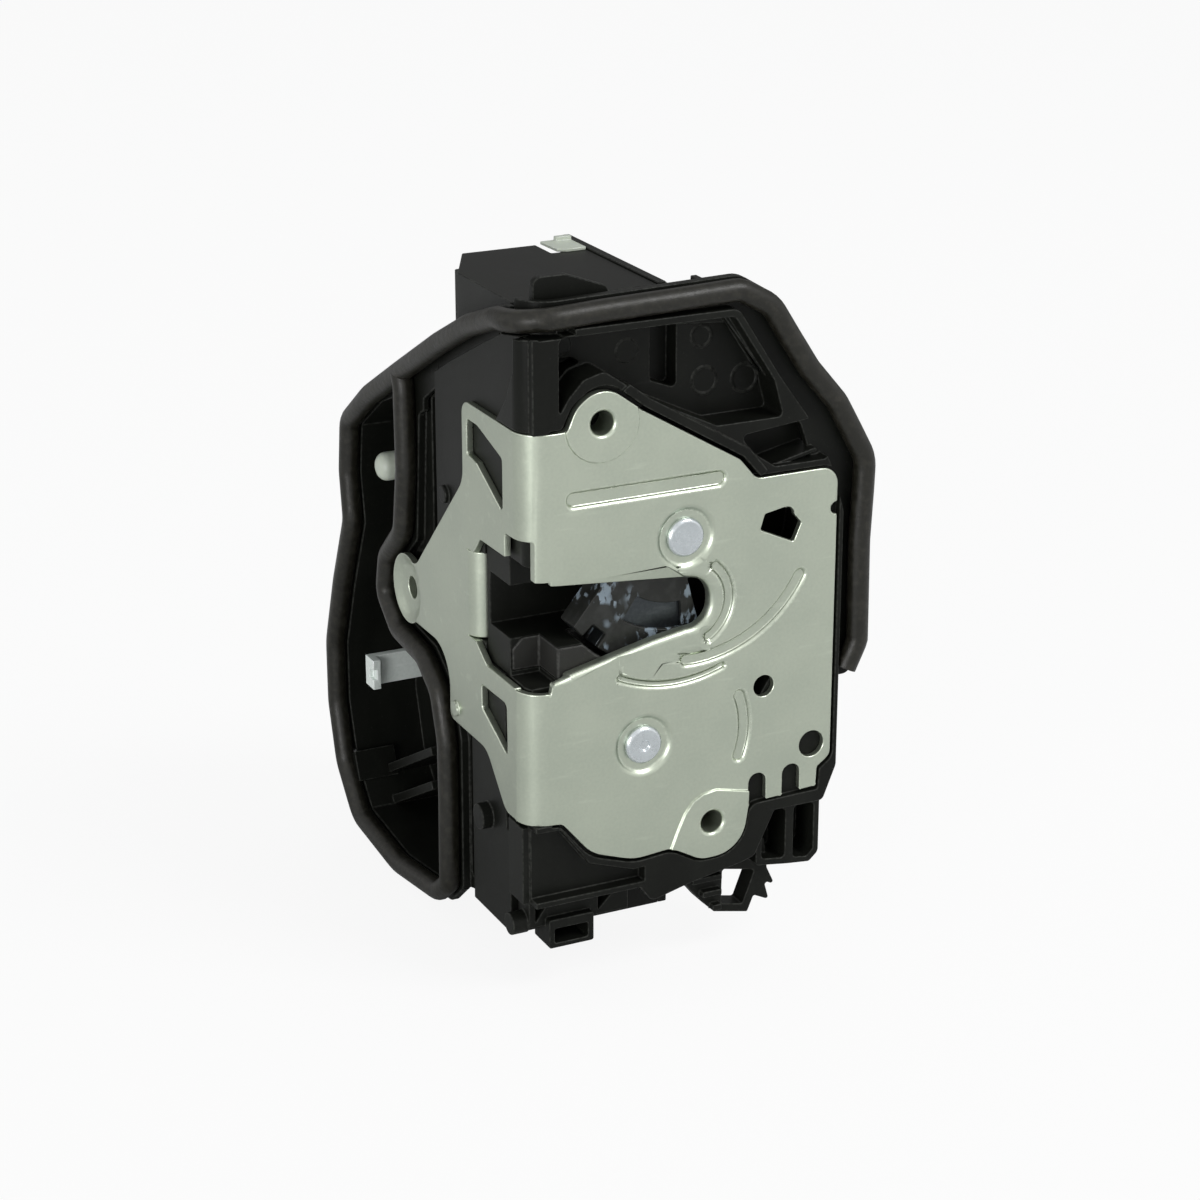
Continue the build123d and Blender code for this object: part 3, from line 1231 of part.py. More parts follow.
lock_lever.part.label = "lock_lever"
export_step(lock_lever.part, "parts/lock_lever.step")

outer_plate_x = 15.0
outer_gauge = 2.0
strip_low = (87.0, -87.5)
strip_high = (89.0, -80.0)
strip_tip_x = -20.0

with BuildPart() as outer_release_lever:
    with BuildSketch(side_plane(outer_plate_x)) as outer_arm:
        lever_arm(outer_lever_pivot, (88, -84), 6.5, 4)
        with Locations(outer_lever_pivot):
            Circle(lever_bore + running_gap, mode=Mode.SUBTRACT)
    extrude(amount=outer_gauge)
    box_between((strip_tip_x, *strip_low), (outer_plate_x + 1, *strip_high))
    box_between((strip_tip_x, 84, -87.5), (strip_tip_x + outer_gauge, 89, -80))
    box_between((strip_tip_x - 1, 83, -85), (strip_tip_x + 1, 86.5, -82.5), Mode.SUBTRACT)

outer_release_lever.part.label = "outer_release_lever"
export_step(outer_release_lever.part, "parts/outer_release_lever.step")

inner_plate_x = 17.6

with BuildPart() as inner_release_lever:
    with BuildSketch(side_plane(inner_plate_x)) as inner_arm:
        lever_arm(inner_lever_pivot, inner_finger, 5.5, inner_finger_radius + 1)
        with Locations(inner_lever_pivot):
            Circle(lever_bore + running_gap, mode=Mode.SUBTRACT)
    extrude(amount=outer_gauge)
    side_disc(inner_finger, inner_finger_radius, -4, inner_plate_x + 5)

inner_release_lever.part.label = "inner_release_lever"
export_step(inner_release_lever.part, "parts/inner_release_lever.step")


# Switches and connector pins

with BuildPart() as catch_switch:
    box_between((8, 20.6, -22), (18, 26.4, -12))
    box_between((11, 26.4, -19), (14, 27.6, -16))

catch_switch.part.label = "catch_switch"
export_step(catch_switch.part, "parts/catch_switch.step")

with BuildPart() as pawl_switch:
    box_between((6, 20.6, -75), (16, 26.4, -64))
    box_between((9, 26.4, -72), (12, 27.6, -69))

pawl_switch.part.label = "pawl_switch"
export_step(pawl_switch.part, "parts/pawl_switch.step")

pin_width = 1.0
pin_columns = 5
pin_pitch = 3.2
pin_rows_z = (9.0, 15.0)

with BuildPart() as terminals:
    for column in range(pin_columns):
        for row_z in pin_rows_z:
            pin_x = 1.6 + pin_pitch * column
            box_between((pin_x, 44, row_z), (pin_x + pin_width, 54.5, row_z + pin_width))

terminals.part.label = "terminals"
export_step(terminals.part, "parts/terminals.step")
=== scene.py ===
"""Door latch actuator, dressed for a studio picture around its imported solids."""

import logging
import math
from dataclasses import dataclass, field, replace
from enum import Enum
from typing import Any, Callable, Optional, Sequence

import bmesh
import bpy
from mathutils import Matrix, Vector
from mathutils.geometry import delaunay_2d_cdt


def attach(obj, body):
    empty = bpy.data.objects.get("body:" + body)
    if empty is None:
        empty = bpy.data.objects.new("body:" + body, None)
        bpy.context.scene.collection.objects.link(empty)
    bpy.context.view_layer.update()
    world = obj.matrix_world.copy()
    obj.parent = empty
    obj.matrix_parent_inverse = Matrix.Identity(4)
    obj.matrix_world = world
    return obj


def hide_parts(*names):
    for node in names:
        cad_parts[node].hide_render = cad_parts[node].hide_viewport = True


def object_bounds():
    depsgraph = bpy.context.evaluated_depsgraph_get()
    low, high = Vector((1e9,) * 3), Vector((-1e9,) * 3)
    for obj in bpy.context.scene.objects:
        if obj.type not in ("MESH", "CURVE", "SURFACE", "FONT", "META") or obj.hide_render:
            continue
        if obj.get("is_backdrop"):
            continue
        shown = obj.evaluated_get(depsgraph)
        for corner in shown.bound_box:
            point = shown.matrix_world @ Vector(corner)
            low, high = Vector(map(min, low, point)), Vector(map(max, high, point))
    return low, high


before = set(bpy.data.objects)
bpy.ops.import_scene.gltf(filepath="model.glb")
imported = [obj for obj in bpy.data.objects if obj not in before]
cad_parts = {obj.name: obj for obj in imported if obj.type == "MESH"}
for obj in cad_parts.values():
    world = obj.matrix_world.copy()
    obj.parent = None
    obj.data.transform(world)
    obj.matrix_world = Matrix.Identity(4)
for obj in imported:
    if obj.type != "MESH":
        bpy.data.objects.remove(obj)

log = logging.getLogger("latch")
MM = 0.001
SEED = 7
WEAR = "wear"
CORNER_ANGLE = 32.0
SHARP_ANGLE = 34.0
FLAT_ANGLE = 0.6
WELD_MM = 0.001
SLIVER_MM = 0.01
ROLL_STEPS = 5

Point = tuple[float, float]
Colour = tuple[float, float, float]
Triple = tuple[float, float, float]


class Body(Enum):
    """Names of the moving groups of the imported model."""

    LATCH = "latch_body"
    CATCH = "catch"
    PAWL = "pawl"
    OUTER = "outer_lever"
    INNER = "inner_lever"
    LOCK = "lock_lever"
    WHEEL = "wheel"
    WORM = "worm"


class Slot(Enum):
    """Material slots of the record."""

    ZINC_STEEL = "zinc_steel"
    RIVET_STEEL = "rivet_steel"
    CATCH_STEEL = "catch_steel"
    JACKET = "jacket_plastic"
    SPRING = "spring_steel"
    BLACK = "black_plastic"
    SCREW = "screw_steel"
    SEAL = "seal_rubber"
    GUIDE = "guide_plastic"
    LEVER = "zinc_lever"
    NYLON = "pale_nylon"
    MOTOR = "motor_can"
    BRASS = "brass_worm"
    SWITCH = "switch_plastic"
    PIN = "pin_tin"


# Shader maths


class Value:
    """A shader socket that takes part in arithmetic."""

    def __init__(self, graph: "Graph", socket: Any) -> None:
        """Wrap a socket of a graph."""
        self.graph = graph
        self.socket = socket

    def _maths(self, operation: str, *inputs: Any) -> "Value":
        """Add a Math node.

        Args:
            operation: the Math node's operation.
            inputs: numbers or wrapped sockets, in order.

        Returns:
            The result.
        """
        return self.graph.add("ShaderNodeMath", {"operation": operation}, list(inputs))

    def __add__(self, other: Any) -> "Value":
        """Sum."""
        return self._maths("ADD", self, other)

    def __radd__(self, other: Any) -> "Value":
        """Sum with the number first."""
        return self._maths("ADD", other, self)

    def __sub__(self, other: Any) -> "Value":
        """Difference."""
        return self._maths("SUBTRACT", self, other)

    def __rsub__(self, other: Any) -> "Value":
        """Difference with the number first."""
        return self._maths("SUBTRACT", other, self)

    def __mul__(self, other: Any) -> "Value":
        """Product."""
        return self._maths("MULTIPLY", self, other)

    def __rmul__(self, other: Any) -> "Value":
        """Product with the number first."""
        return self._maths("MULTIPLY", other, self)

    def clamp(self) -> "Value":
        """Kept between 0 and 1."""
        return self.graph.add("ShaderNodeClamp", {}, [self])

    def above(self, low: float, high: float) -> "Value":
        """0 below low, 1 above high and smooth between them."""
        settings = {"interpolation_type": "SMOOTHSTEP"}
        inputs = {"Value": self, "From Min": low, "From Max": high}
        return self.graph.add("ShaderNodeMapRange", settings, inputs)


class Graph:
    """A material's node tree."""

    def __init__(self, name: str) -> None:
        """Start an empty material.

        Args:
            name: the material's name.
        """
        self.material = bpy.data.materials.new(name)
        self.material.use_nodes = True
        self.tree = self.material.node_tree
        self.tree.nodes.clear()

    def add(self, kind: str, settings: dict, inputs: Any, output: Any = 0) -> Value:
        """Add any node.

        Args:
            kind: the node's type.
            settings: the node's own properties, set first.
            inputs: values or wrapped sockets, by name or in order.
            output: which output is wanted.

        Returns:
            The wrapped output.
        """
        node = self.tree.nodes.new(kind)
        for key, setting in settings.items():
            setattr(node, key, setting)
        named = inputs.items() if isinstance(inputs, dict) else enumerate(inputs)
        for key, value in named:
            self.feed(node.inputs[key], value)
        return Value(self, node.outputs[output])

    def feed(self, socket: Any, value: Any) -> None:
        """Link a wrapped socket or set a plain value."""
        if isinstance(value, Value):
            self.tree.links.new(value.socket, socket)
        else:
            socket.default_value = value

    def wear(self, size_mm: float = 0.9) -> Value:
        """Broken mask of the piece's rubbed edges, from its wear attribute."""
        marked = self.add("ShaderNodeAttribute", {"attribute_name": WEAR}, [], "Fac")
        return marked * (self.noise(size_mm, 3.0).above(0.38, 0.60) * 0.8 + 0.2)

    def rings(self, centre: Point, pitch_mm: float) -> Value:
        """Turning rings round an axis along Y, between -1 and 1."""
        spot = self.add("ShaderNodeTexCoord", {}, [], "Object")
        flat = self.add("ShaderNodeVectorMath", {"operation": "MULTIPLY"}, [spot, (1.0, 0.0, 1.0)])
        middle = (centre[0] * MM, 0.0, centre[1] * MM)
        away = self.add("ShaderNodeVectorMath", {"operation": "DISTANCE"}, [flat, middle], "Value")
        return self.add("ShaderNodeMath", {"operation": "SINE"}, [away * (math.tau / (pitch_mm * MM))])

    def place(self, stretch: Triple = (1.0, 1.0, 1.0)) -> Value:
        """Object coordinates, stretched along the axes."""
        spot = self.add("ShaderNodeTexCoord", {}, [], "Object")
        return self.add("ShaderNodeMapping", {}, {"Vector": spot, "Scale": stretch})

    def noise(self, size_mm: float, detail: float = 3.0, stretch: Triple = (1.0, 1.0, 1.0)) -> Value:
        """Noise whose blobs are about size_mm wide."""
        inputs = {"Vector": self.place(stretch), "Scale": 1000.0 / size_mm, "Detail": detail}
        return self.add("ShaderNodeTexNoise", {}, inputs, "Fac")

    def mix(self, share: Any, first: Any, second: Any) -> Value:
        """Blend of two colours."""
        as_colour = [c if isinstance(c, Value) else (*c, 1.0) for c in (first, second)]
        inputs = {0: share, 6: as_colour[0], 7: as_colour[1]}
        return self.add("ShaderNodeMix", {"data_type": "RGBA"}, inputs, 2)

    def bump(self, height: Value, depth_mm: float, under: Optional[Value] = None) -> Value:
        """Normal from a height in millimetres."""
        inputs = {"Height": height, "Distance": depth_mm * MM, "Strength": 1.0}
        if under is not None:
            inputs["Normal"] = under
        return self.add("ShaderNodeBump", {}, inputs, "Normal")

    def shade(self, varying: dict, constants: dict) -> bpy.types.Material:
        """Finish with one principled shader.

        Args:
            varying: linked sockets by name.
            constants: plain values by name.

        Returns:
            The material.
        """
        shader = self.add("ShaderNodeBsdfPrincipled", {}, {**constants, **varying}, "BSDF")
        out = self.tree.nodes.new("ShaderNodeOutputMaterial")
        self.tree.links.new(shader.socket, out.inputs["Surface"])
        return self.material


@dataclass(frozen=True)
class PlatedSteel:
    """Zinc plated sheet or wire with a satin, slightly mottled surface."""

    name: str
    colour: Colour = (0.505, 0.55, 0.455)
    dull: Colour = (0.455, 0.50, 0.415)
    roughness: float = 0.36
    spread: float = 0.10
    metallic: float = 0.92
    axis: Optional[Point] = None
    ring_mm: float = 0.8
    cloud_mm: float = 16.0
    spangle_mm: float = 0.7
    rub_mm: float = 3.2
    rub_stretch: Triple = (0.25, 1.0, 1.4)
    grain_mm: float = 0.16

    def build(self) -> bpy.types.Material:
        """Make the material."""
        graph = Graph(self.name)
        clouds = graph.noise(self.cloud_mm)
        spangle = graph.noise(self.spangle_mm, 2.0)
        rub = graph.noise(self.rub_mm, 4.0, self.rub_stretch)
        fine = graph.noise(self.grain_mm, 2.0)
        tone = (clouds * 0.6 + spangle * 0.4).above(0.32, 0.68)
        colour = graph.mix(tone, self.dull, self.colour)
        scuff = rub.above(0.60, 0.74) * 0.35
        light = tuple(min(1.0, c * 1.16 + 0.03) for c in self.colour)
        worn = graph.wear()
        colour = graph.mix((scuff + worn * 0.8).clamp(), colour, light)
        rough = clouds * self.spread + spangle * self.spread * 0.6 + self.roughness - self.spread * 0.8
        normal = graph.bump(spangle, 0.0035, graph.bump(fine, 0.0025))
        if self.axis is not None:
            normal = graph.bump(graph.rings(self.axis, self.ring_mm), 0.006, normal)
        varying = {"Base Color": colour, "Roughness": (rough - worn * 0.08).clamp(), "Normal": normal}
        return graph.shade(varying, {"Metallic": self.metallic})


@dataclass(frozen=True)
class Moulding:
    """Grained moulded plastic with a faint bloom and dust."""

    name: str
    colour: Colour = (0.0055, 0.0060, 0.0048)
    bloom: Colour = (0.012, 0.013, 0.0105)
    rubbed: Colour = (0.050, 0.052, 0.046)
    roughness: float = 0.40
    grain_mm: float = 0.32
    grain_depth: float = 0.010
    subsurface: float = 0.0
    gloss: float = 0.13
    flow_mm: float = 14.0
    flow_stretch: Triple = (1.0, 1.0, 0.4)
    dust_mm: float = 0.9
    speck_mm: float = 0.5

    def build(self) -> bpy.types.Material:
        """Make the material."""
        graph = Graph(self.name)
        flow = graph.noise(self.flow_mm, 3.0, self.flow_stretch)
        dust = graph.noise(self.dust_mm, 4.0)
        grain = graph.noise(self.grain_mm, 2.0)
        share = (flow.above(0.35, 0.75) * 0.55 + dust.above(0.55, 0.8) * 0.35).clamp()
        specks = graph.noise(self.speck_mm, 1.0).above(0.74, 0.78)
        colour = graph.mix(share, self.colour, self.bloom)
        colour = graph.mix((graph.wear() * 0.55 + specks * 0.35).clamp(), colour, self.rubbed)
        rough = (flow * 0.14 + grain * 0.10 + self.roughness - 0.10).clamp()
        normal = graph.bump(grain, self.grain_depth, graph.bump(flow, 0.05))
        varying = {"Base Color": colour, "Roughness": rough, "Normal": normal}
        constants = {"Specular IOR Level": self.gloss}
        if self.subsurface:
            constants["Subsurface Weight"] = self.subsurface
            constants["Subsurface Radius"] = (0.002, 0.002, 0.0015)
        return graph.shade(varying, constants)


@dataclass(frozen=True)
class SoftSeal:
    """Foamed sealing cord with a thin uneven skin."""

    name: str = "seal_cord"
    colour: Colour = (0.010, 0.0095, 0.0065)
    worn: Colour = (0.030, 0.028, 0.021)
    roughness: float = 0.38
    gloss: float = 0.36
    skin_mm: float = 1.6
    pore_mm: float = 0.35
    wave_mm: float = 12.0
    scuff_mm: float = 0.6

    def build(self) -> bpy.types.Material:
        """Make the material."""
        graph = Graph(self.name)
        skin = graph.noise(self.skin_mm, 4.0)
        pores = graph.noise(self.pore_mm)
        long_wave = graph.noise(self.wave_mm, 2.0)
        scuffs = graph.noise(self.scuff_mm).above(0.68, 0.74)
        share = (skin.above(0.42, 0.7) * 0.5 + pores.above(0.6, 0.75) * 0.25 + scuffs * 0.4).clamp()
        colour = graph.mix(share, self.colour, self.worn)
        rough = (skin * 0.22 + long_wave * 0.14 + self.roughness - 0.17).clamp()
        normal = graph.bump(pores, 0.03, graph.bump(skin, 0.10))
        varying = {"Base Color": colour, "Roughness": rough, "Normal": normal}
        return graph.shade(varying, {"Specular IOR Level": self.gloss})


@dataclass(frozen=True)
class GreasedJacket:
    """Dark jacket with smears of pale grease."""

    name: str = "greased_jacket"
    colour: Colour = (0.013, 0.014, 0.012)
    dusty: Colour = (0.026, 0.027, 0.025)
    grease: Colour = (0.30, 0.37, 0.43)
    gloss: float = 0.35
    patch_mm: float = 9.0
    streak_mm: float = 2.2
    streak_stretch: Triple = (1.5, 1.0, 0.8)
    grain_mm: float = 0.4
    stain_mm: float = 3.0

    def build(self) -> bpy.types.Material:
        """Make the material."""
        graph = Graph(self.name)
        patch = graph.noise(self.patch_mm, 2.0).above(0.49, 0.58)
        streak = graph.noise(self.streak_mm, 4.0, self.streak_stretch).above(0.49, 0.57)
        smear = patch * streak
        grain = graph.noise(self.grain_mm, 2.0)
        colour = graph.mix(graph.noise(self.stain_mm).above(0.4, 0.7), self.colour, self.dusty)
        colour = graph.mix(smear * 0.85, colour, self.grease)
        rough = (0.42 - smear * 0.24 + grain * 0.08).clamp()
        normal = graph.bump(smear, 0.10, graph.bump(grain, 0.01))
        varying = {"Base Color": colour, "Roughness": rough, "Normal": normal}
        return graph.shade(varying, {"Specular IOR Level": self.gloss})


@dataclass(frozen=True)
class Finishes:
    """Every finish of the latch, by slot."""

    made: dict = field(default_factory=dict)

    def of(self, slot: Slot) -> bpy.types.Material:
        """The material of a slot, made when it is first asked for."""
        if slot not in self.made:
            self.made[slot] = FINISH_OF[slot].build()
        return self.made[slot]


FINISH_OF = {
    Slot.ZINC_STEEL: PlatedSteel("zinc_plate"),
    Slot.RIVET_STEEL: PlatedSteel("rivet_head", (0.60, 0.64, 0.66), (0.52, 0.56, 0.58), 0.26),
    Slot.CATCH_STEEL: PlatedSteel("ground_catch", (0.070, 0.078, 0.084), (0.048, 0.054, 0.058), 0.40),
    Slot.JACKET: GreasedJacket(),
    Slot.SPRING: PlatedSteel("spring_wire", (0.30, 0.31, 0.32), (0.23, 0.24, 0.25), 0.30),
    Slot.BLACK: Moulding("black_moulding"),
    Slot.SCREW: PlatedSteel("screw_steel", (0.52, 0.53, 0.52), (0.44, 0.45, 0.44), 0.30),
    Slot.SEAL: SoftSeal(),
    Slot.GUIDE: Moulding(
        "slide_moulding", (0.024, 0.024, 0.022), (0.036, 0.036, 0.033), (0.09, 0.09, 0.085), 0.30
    ),
    # Lever: paler, more diffuse zinc than the plate, with its base colour raised further so that the lever,
    # shaded inside the tray, still renders bright. This is partly its own tone and partly painted light.
    Slot.LEVER: PlatedSteel("pale_lever_painted_light", (0.80, 0.86, 0.82), (0.70, 0.76, 0.72), 0.34, metallic=0.15),
    Slot.NYLON: Moulding(
        "pale_nylon",
        (0.54, 0.59, 0.50),
        (0.62, 0.66, 0.58),
        (0.76, 0.79, 0.73),
        roughness=0.34,
        grain_mm=0.4,
        grain_depth=0.006,
        subsurface=0.2,
        gloss=0.5,
    ),
    Slot.MOTOR: PlatedSteel("motor_can", (0.50, 0.50, 0.48), (0.42, 0.42, 0.40), 0.30),
    Slot.BRASS: PlatedSteel("turned_brass", (0.62, 0.47, 0.21), (0.52, 0.39, 0.17), 0.26),
    Slot.SWITCH: Moulding("switch_moulding", (0.02, 0.02, 0.022), (0.035, 0.035, 0.037)),
    Slot.PIN: PlatedSteel("tinned_pin", (0.66, 0.66, 0.64), (0.58, 0.58, 0.56), 0.24),
}


# Meshes


def new_object(name: str, data: Any) -> bpy.types.Object:
    """Put a mesh, curve, lamp or camera in the scene.

    Args:
        name: the object's name.
        data: what it shows, with a piece's mesh already in its place.

    Returns:
        The object, at the origin.
    """
    obj = bpy.data.objects.new(name, data)
    bpy.context.scene.collection.objects.link(obj)
    return obj


def settle(obj: bpy.types.Object) -> bpy.types.Object:
    """Turn an object with modifiers into a plain mesh.

    Args:
        obj: the object.

    Returns:
        The same object with its result as its mesh.
    """
    bpy.context.view_layer.update()
    evaluated = obj.evaluated_get(bpy.context.evaluated_depsgraph_get())
    mesh = bpy.data.meshes.new_from_object(evaluated)
    obj.modifiers.clear()
    if obj.type == "MESH":
        obj.data = mesh
        return obj
    solid = new_object(obj.name + "_mesh", mesh)
    bpy.data.objects.remove(obj)
    return solid


class PieceTree:
    """A Geometry Nodes tree that ends in real faces with one material."""

    def __init__(self, name: str, sizes: Sequence[str]) -> None:
        """Start a tree.

        Args:
            name: the tree's name.
            sizes: the names of its size inputs.
        """
        self.group = bpy.data.node_groups.new(name, "GeometryNodeTree")
        panel = self.group.interface
        panel.new_socket("Geometry", in_out="INPUT", socket_type="NodeSocketGeometry")
        for label in sizes:
            panel.new_socket(label, in_out="INPUT", socket_type="NodeSocketFloat")
        panel.new_socket("Geometry", in_out="OUTPUT", socket_type="NodeSocketGeometry")
        self.given = self.group.nodes.new("NodeGroupInput").outputs

    def add(self, kind: str, settings: dict, inputs: dict, output: Any = 0) -> Any:
        """Add a node.

        Args:
            kind: the node's type.
            settings: the node's own properties.
            inputs: plain values or output sockets, by input.
            output: which output is wanted.

        Returns:
            The output socket.
        """
        node = self.group.nodes.new(kind)
        for key, setting in settings.items():
            setattr(node, key, setting)
        for key, value in inputs.items():
            if isinstance(value, bpy.types.NodeSocket):
                self.group.links.new(value, node.inputs[key])
            else:
                node.inputs[key].default_value = value
        return node.outputs[output]

    def finish(self, geometry: Any, material: bpy.types.Material) -> None:
        """End the tree in real faces with a material."""
        real = self.add("GeometryNodeRealizeInstances", {}, {"Geometry": geometry})
        paint = self.add("GeometryNodeSetMaterial", {}, {"Geometry": real, "Material": material})
        out = self.group.nodes.new("NodeGroupOutput")
        self.group.links.new(paint, out.inputs["Geometry"])

    def run_on(self, obj: bpy.types.Object, sizes_mm: dict[str, float]) -> bpy.types.Object:
        """Run the tree on an object and keep the result as a plain mesh.

        Args:
            obj: the object.
            sizes_mm: values of the size inputs, by name.

        Returns:
            The object with the result.
        """
        modifier = obj.modifiers.new(self.group.name, "NODES")
        modifier.node_group = self.group
        for item in self.group.interface.items_tree:
            if item.in_out == "INPUT" and item.name in sizes_mm:
                modifier[item.identifier] = sizes_mm[item.name] * MM
        return settle(obj)


@dataclass(frozen=True)
class Roll:
    """Edges of a piece that get a wider rounding than the rest.

    Edges are taken where both ends lie at a depth along Y and inside a window of X and Z.
    """

    width_mm: float
    depth_mm: float
    low: Point
    high: Point
    clear_of: tuple[tuple[Point, float], ...] = ()
    near: Optional[tuple[Point, float, float]] = None
    slack_mm: float = 0.03

    def takes(self, spot: Vector) -> bool:
        """Whether a corner point belongs to the rolled edge.

        Args:
            spot: the point in metres.

        Returns:
            True where it does.
        """
        x, y, z = (c / MM for c in spot)
        framed = self.low[0] < x < self.high[0] and self.low[1] < z < self.high[1]
        if abs(y - self.depth_mm) > self.slack_mm or not framed:
            return False
        if any(math.hypot(x - at[0], z - at[1]) < radius for at, radius in self.clear_of):
            return False
        if self.near is None:
            return True
        at, least, most = self.near
        return least < math.hypot(x - at[0], z - at[1]) < most


def clear_finishes(mesh: bpy.types.Mesh) -> None:
    """Leave two empty finishes on a mesh: one for its faces and one for its bevel."""
    mesh.materials.clear()
    for _ in range(2):
        mesh.materials.append(None)
    for face in mesh.polygons:
        face.material_index = 0


def break_edges(obj: bpy.types.Object, width_mm: float, segments: int = 2) -> None:
    """Bevel the corners of a piece, mark them as worn and shade it smooth.

    Args:
        obj: the piece, with its finishes cleared.
        width_mm: the bevel's width.
        segments: steps of its rounding.
    """
    round_edges(obj, width_mm, segments, lambda edge: float(is_corner(edge)))
    mark_wear(obj.data)
    smooth(obj)


def round_edges(
    obj: bpy.types.Object, width_mm: float, segments: int, weigh: Callable[[Any], float]
) -> None:
    """Bevel the edges that a rule gives a weight.

    Args:
        obj: the piece.
        width_mm: the bevel's width at a weight of 1.
        segments: steps of its rounding.
        weigh: the weight of a bmesh edge, from 0 to 1.
    """
    edit = bmesh.new()
    edit.from_mesh(obj.data)
    layers = edit.edges.layers.float
    weight = layers.get("bevel_weight_edge") or layers.new("bevel_weight_edge")
    for edge in edit.edges:
        edge[weight] = weigh(edge)
    edit.to_mesh(obj.data)
    edit.free()
    bevel = obj.modifiers.new("round", "BEVEL")
    bevel.width = width_mm * MM
    bevel.segments = segments
    bevel.limit_method = "WEIGHT"
    bevel.use_clamp_overlap = False
    bevel.miter_outer = "MITER_ARC"
    bevel.material = 1
    settle(obj)
    refill_flats(obj.data)


def is_corner(edge: Any, angle: float = CORNER_ANGLE, least_mm: float = 0.02) -> bool:
    """Whether two real faces meet at an edge by more than an angle.

    Args:
        edge: the bmesh edge.
        angle: the least angle in degrees.
        least_mm: a face narrower than this at the edge is no real face.

    Returns:
        True for a real corner of the piece.
    """
    if len(edge.link_faces) != 2 or edge.calc_face_angle(0.0) < math.radians(angle):
        return False
    narrow = edge.calc_length() * least_mm * MM
    return all(face.calc_area() > narrow for face in edge.link_faces)


def softened_copy(node: str, name: str, width_mm: float, rolls: Sequence[Roll] = ()) -> bpy.types.Object:
    """Copy of a CAD node with its edges broken by a small bevel.

    Args:
        node: the CAD node.
        name: the new object's name.
        width_mm: the bevel's width.
        rolls: edges that are rolled wider first.

    Returns:
        The new object, with its broken edges marked as worn.
    """
    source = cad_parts[node]
    mesh = source.data.copy()
    obj = new_object(name, mesh)
    edit = bmesh.new()
    edit.from_mesh(mesh)
    bmesh.ops.remove_doubles(edit, verts=edit.verts, dist=WELD_MM * MM)
    bmesh.ops.dissolve_degenerate(edit, dist=WELD_MM * MM, edges=edit.edges)
    bmesh.ops.dissolve_limit(edit, angle_limit=math.radians(FLAT_ANGLE), verts=edit.verts, edges=edit.edges)
    bmesh.ops.dissolve_degenerate(edit, dist=SLIVER_MM * MM, edges=edit.edges)
    edit.to_mesh(mesh)
    edit.free()
    clear_finishes(mesh)
    if rolls:
        widest = max(roll.width_mm for roll in rolls)

        def roll_weight(edge: Any) -> float:
            """Weight of an edge under the first roll that takes it."""
            if not is_corner(edge):
                return 0.0
            ends = [end.co for end in edge.verts]
            weights = (roll.width_mm / widest for roll in rolls if all(map(roll.takes, ends)))
            return next(weights, 0.0)

        round_edges(obj, widest, ROLL_STEPS, roll_weight)
        clear_finishes(obj.data)
    break_edges(obj, width_mm)
    return obj


def inside(spot: Any, sides: Sequence[tuple[Any, Any]]) -> bool:
    """Whether a flat point lies inside closed outlines, holes left out.

    Args:
        spot: the point.
        sides: the outlines' sides, in any order.

    Returns:
        True where a line from the point crosses the sides an odd number of times.
    """
    within = False
    for a, b in sides:
        crossed = (a.y > spot.y) != (b.y > spot.y)
        if crossed and spot.x < a.x + (spot.y - a.y) * (b.x - a.x) / (b.y - a.y):
            within = not within
    return within


def flat_region(seed: Any, taken: set, slack_mm: float = 0.002) -> list[Any]:
    """Faces joined to a face that lie in its plane, folded slivers among them.

    Args:
        seed: the bmesh face to start from.
        taken: faces that already belong to a region, added to here.
        slack_mm: how far a corner may be from the plane.

    Returns:
        The region's faces.
    """
    origin, normal = seed.verts[0].co.copy(), seed.normal.copy()
    region, queue = [], [seed]
    taken.add(seed)
    while queue:
        face = queue.pop()
        region.append(face)
        for edge in face.edges:
            for other in edge.link_faces:
                if other in taken:
                    continue
                if all(abs((corner.co - origin).dot(normal)) < slack_mm * MM for corner in other.verts):
                    taken.add(other)
                    queue.append(other)
    return region


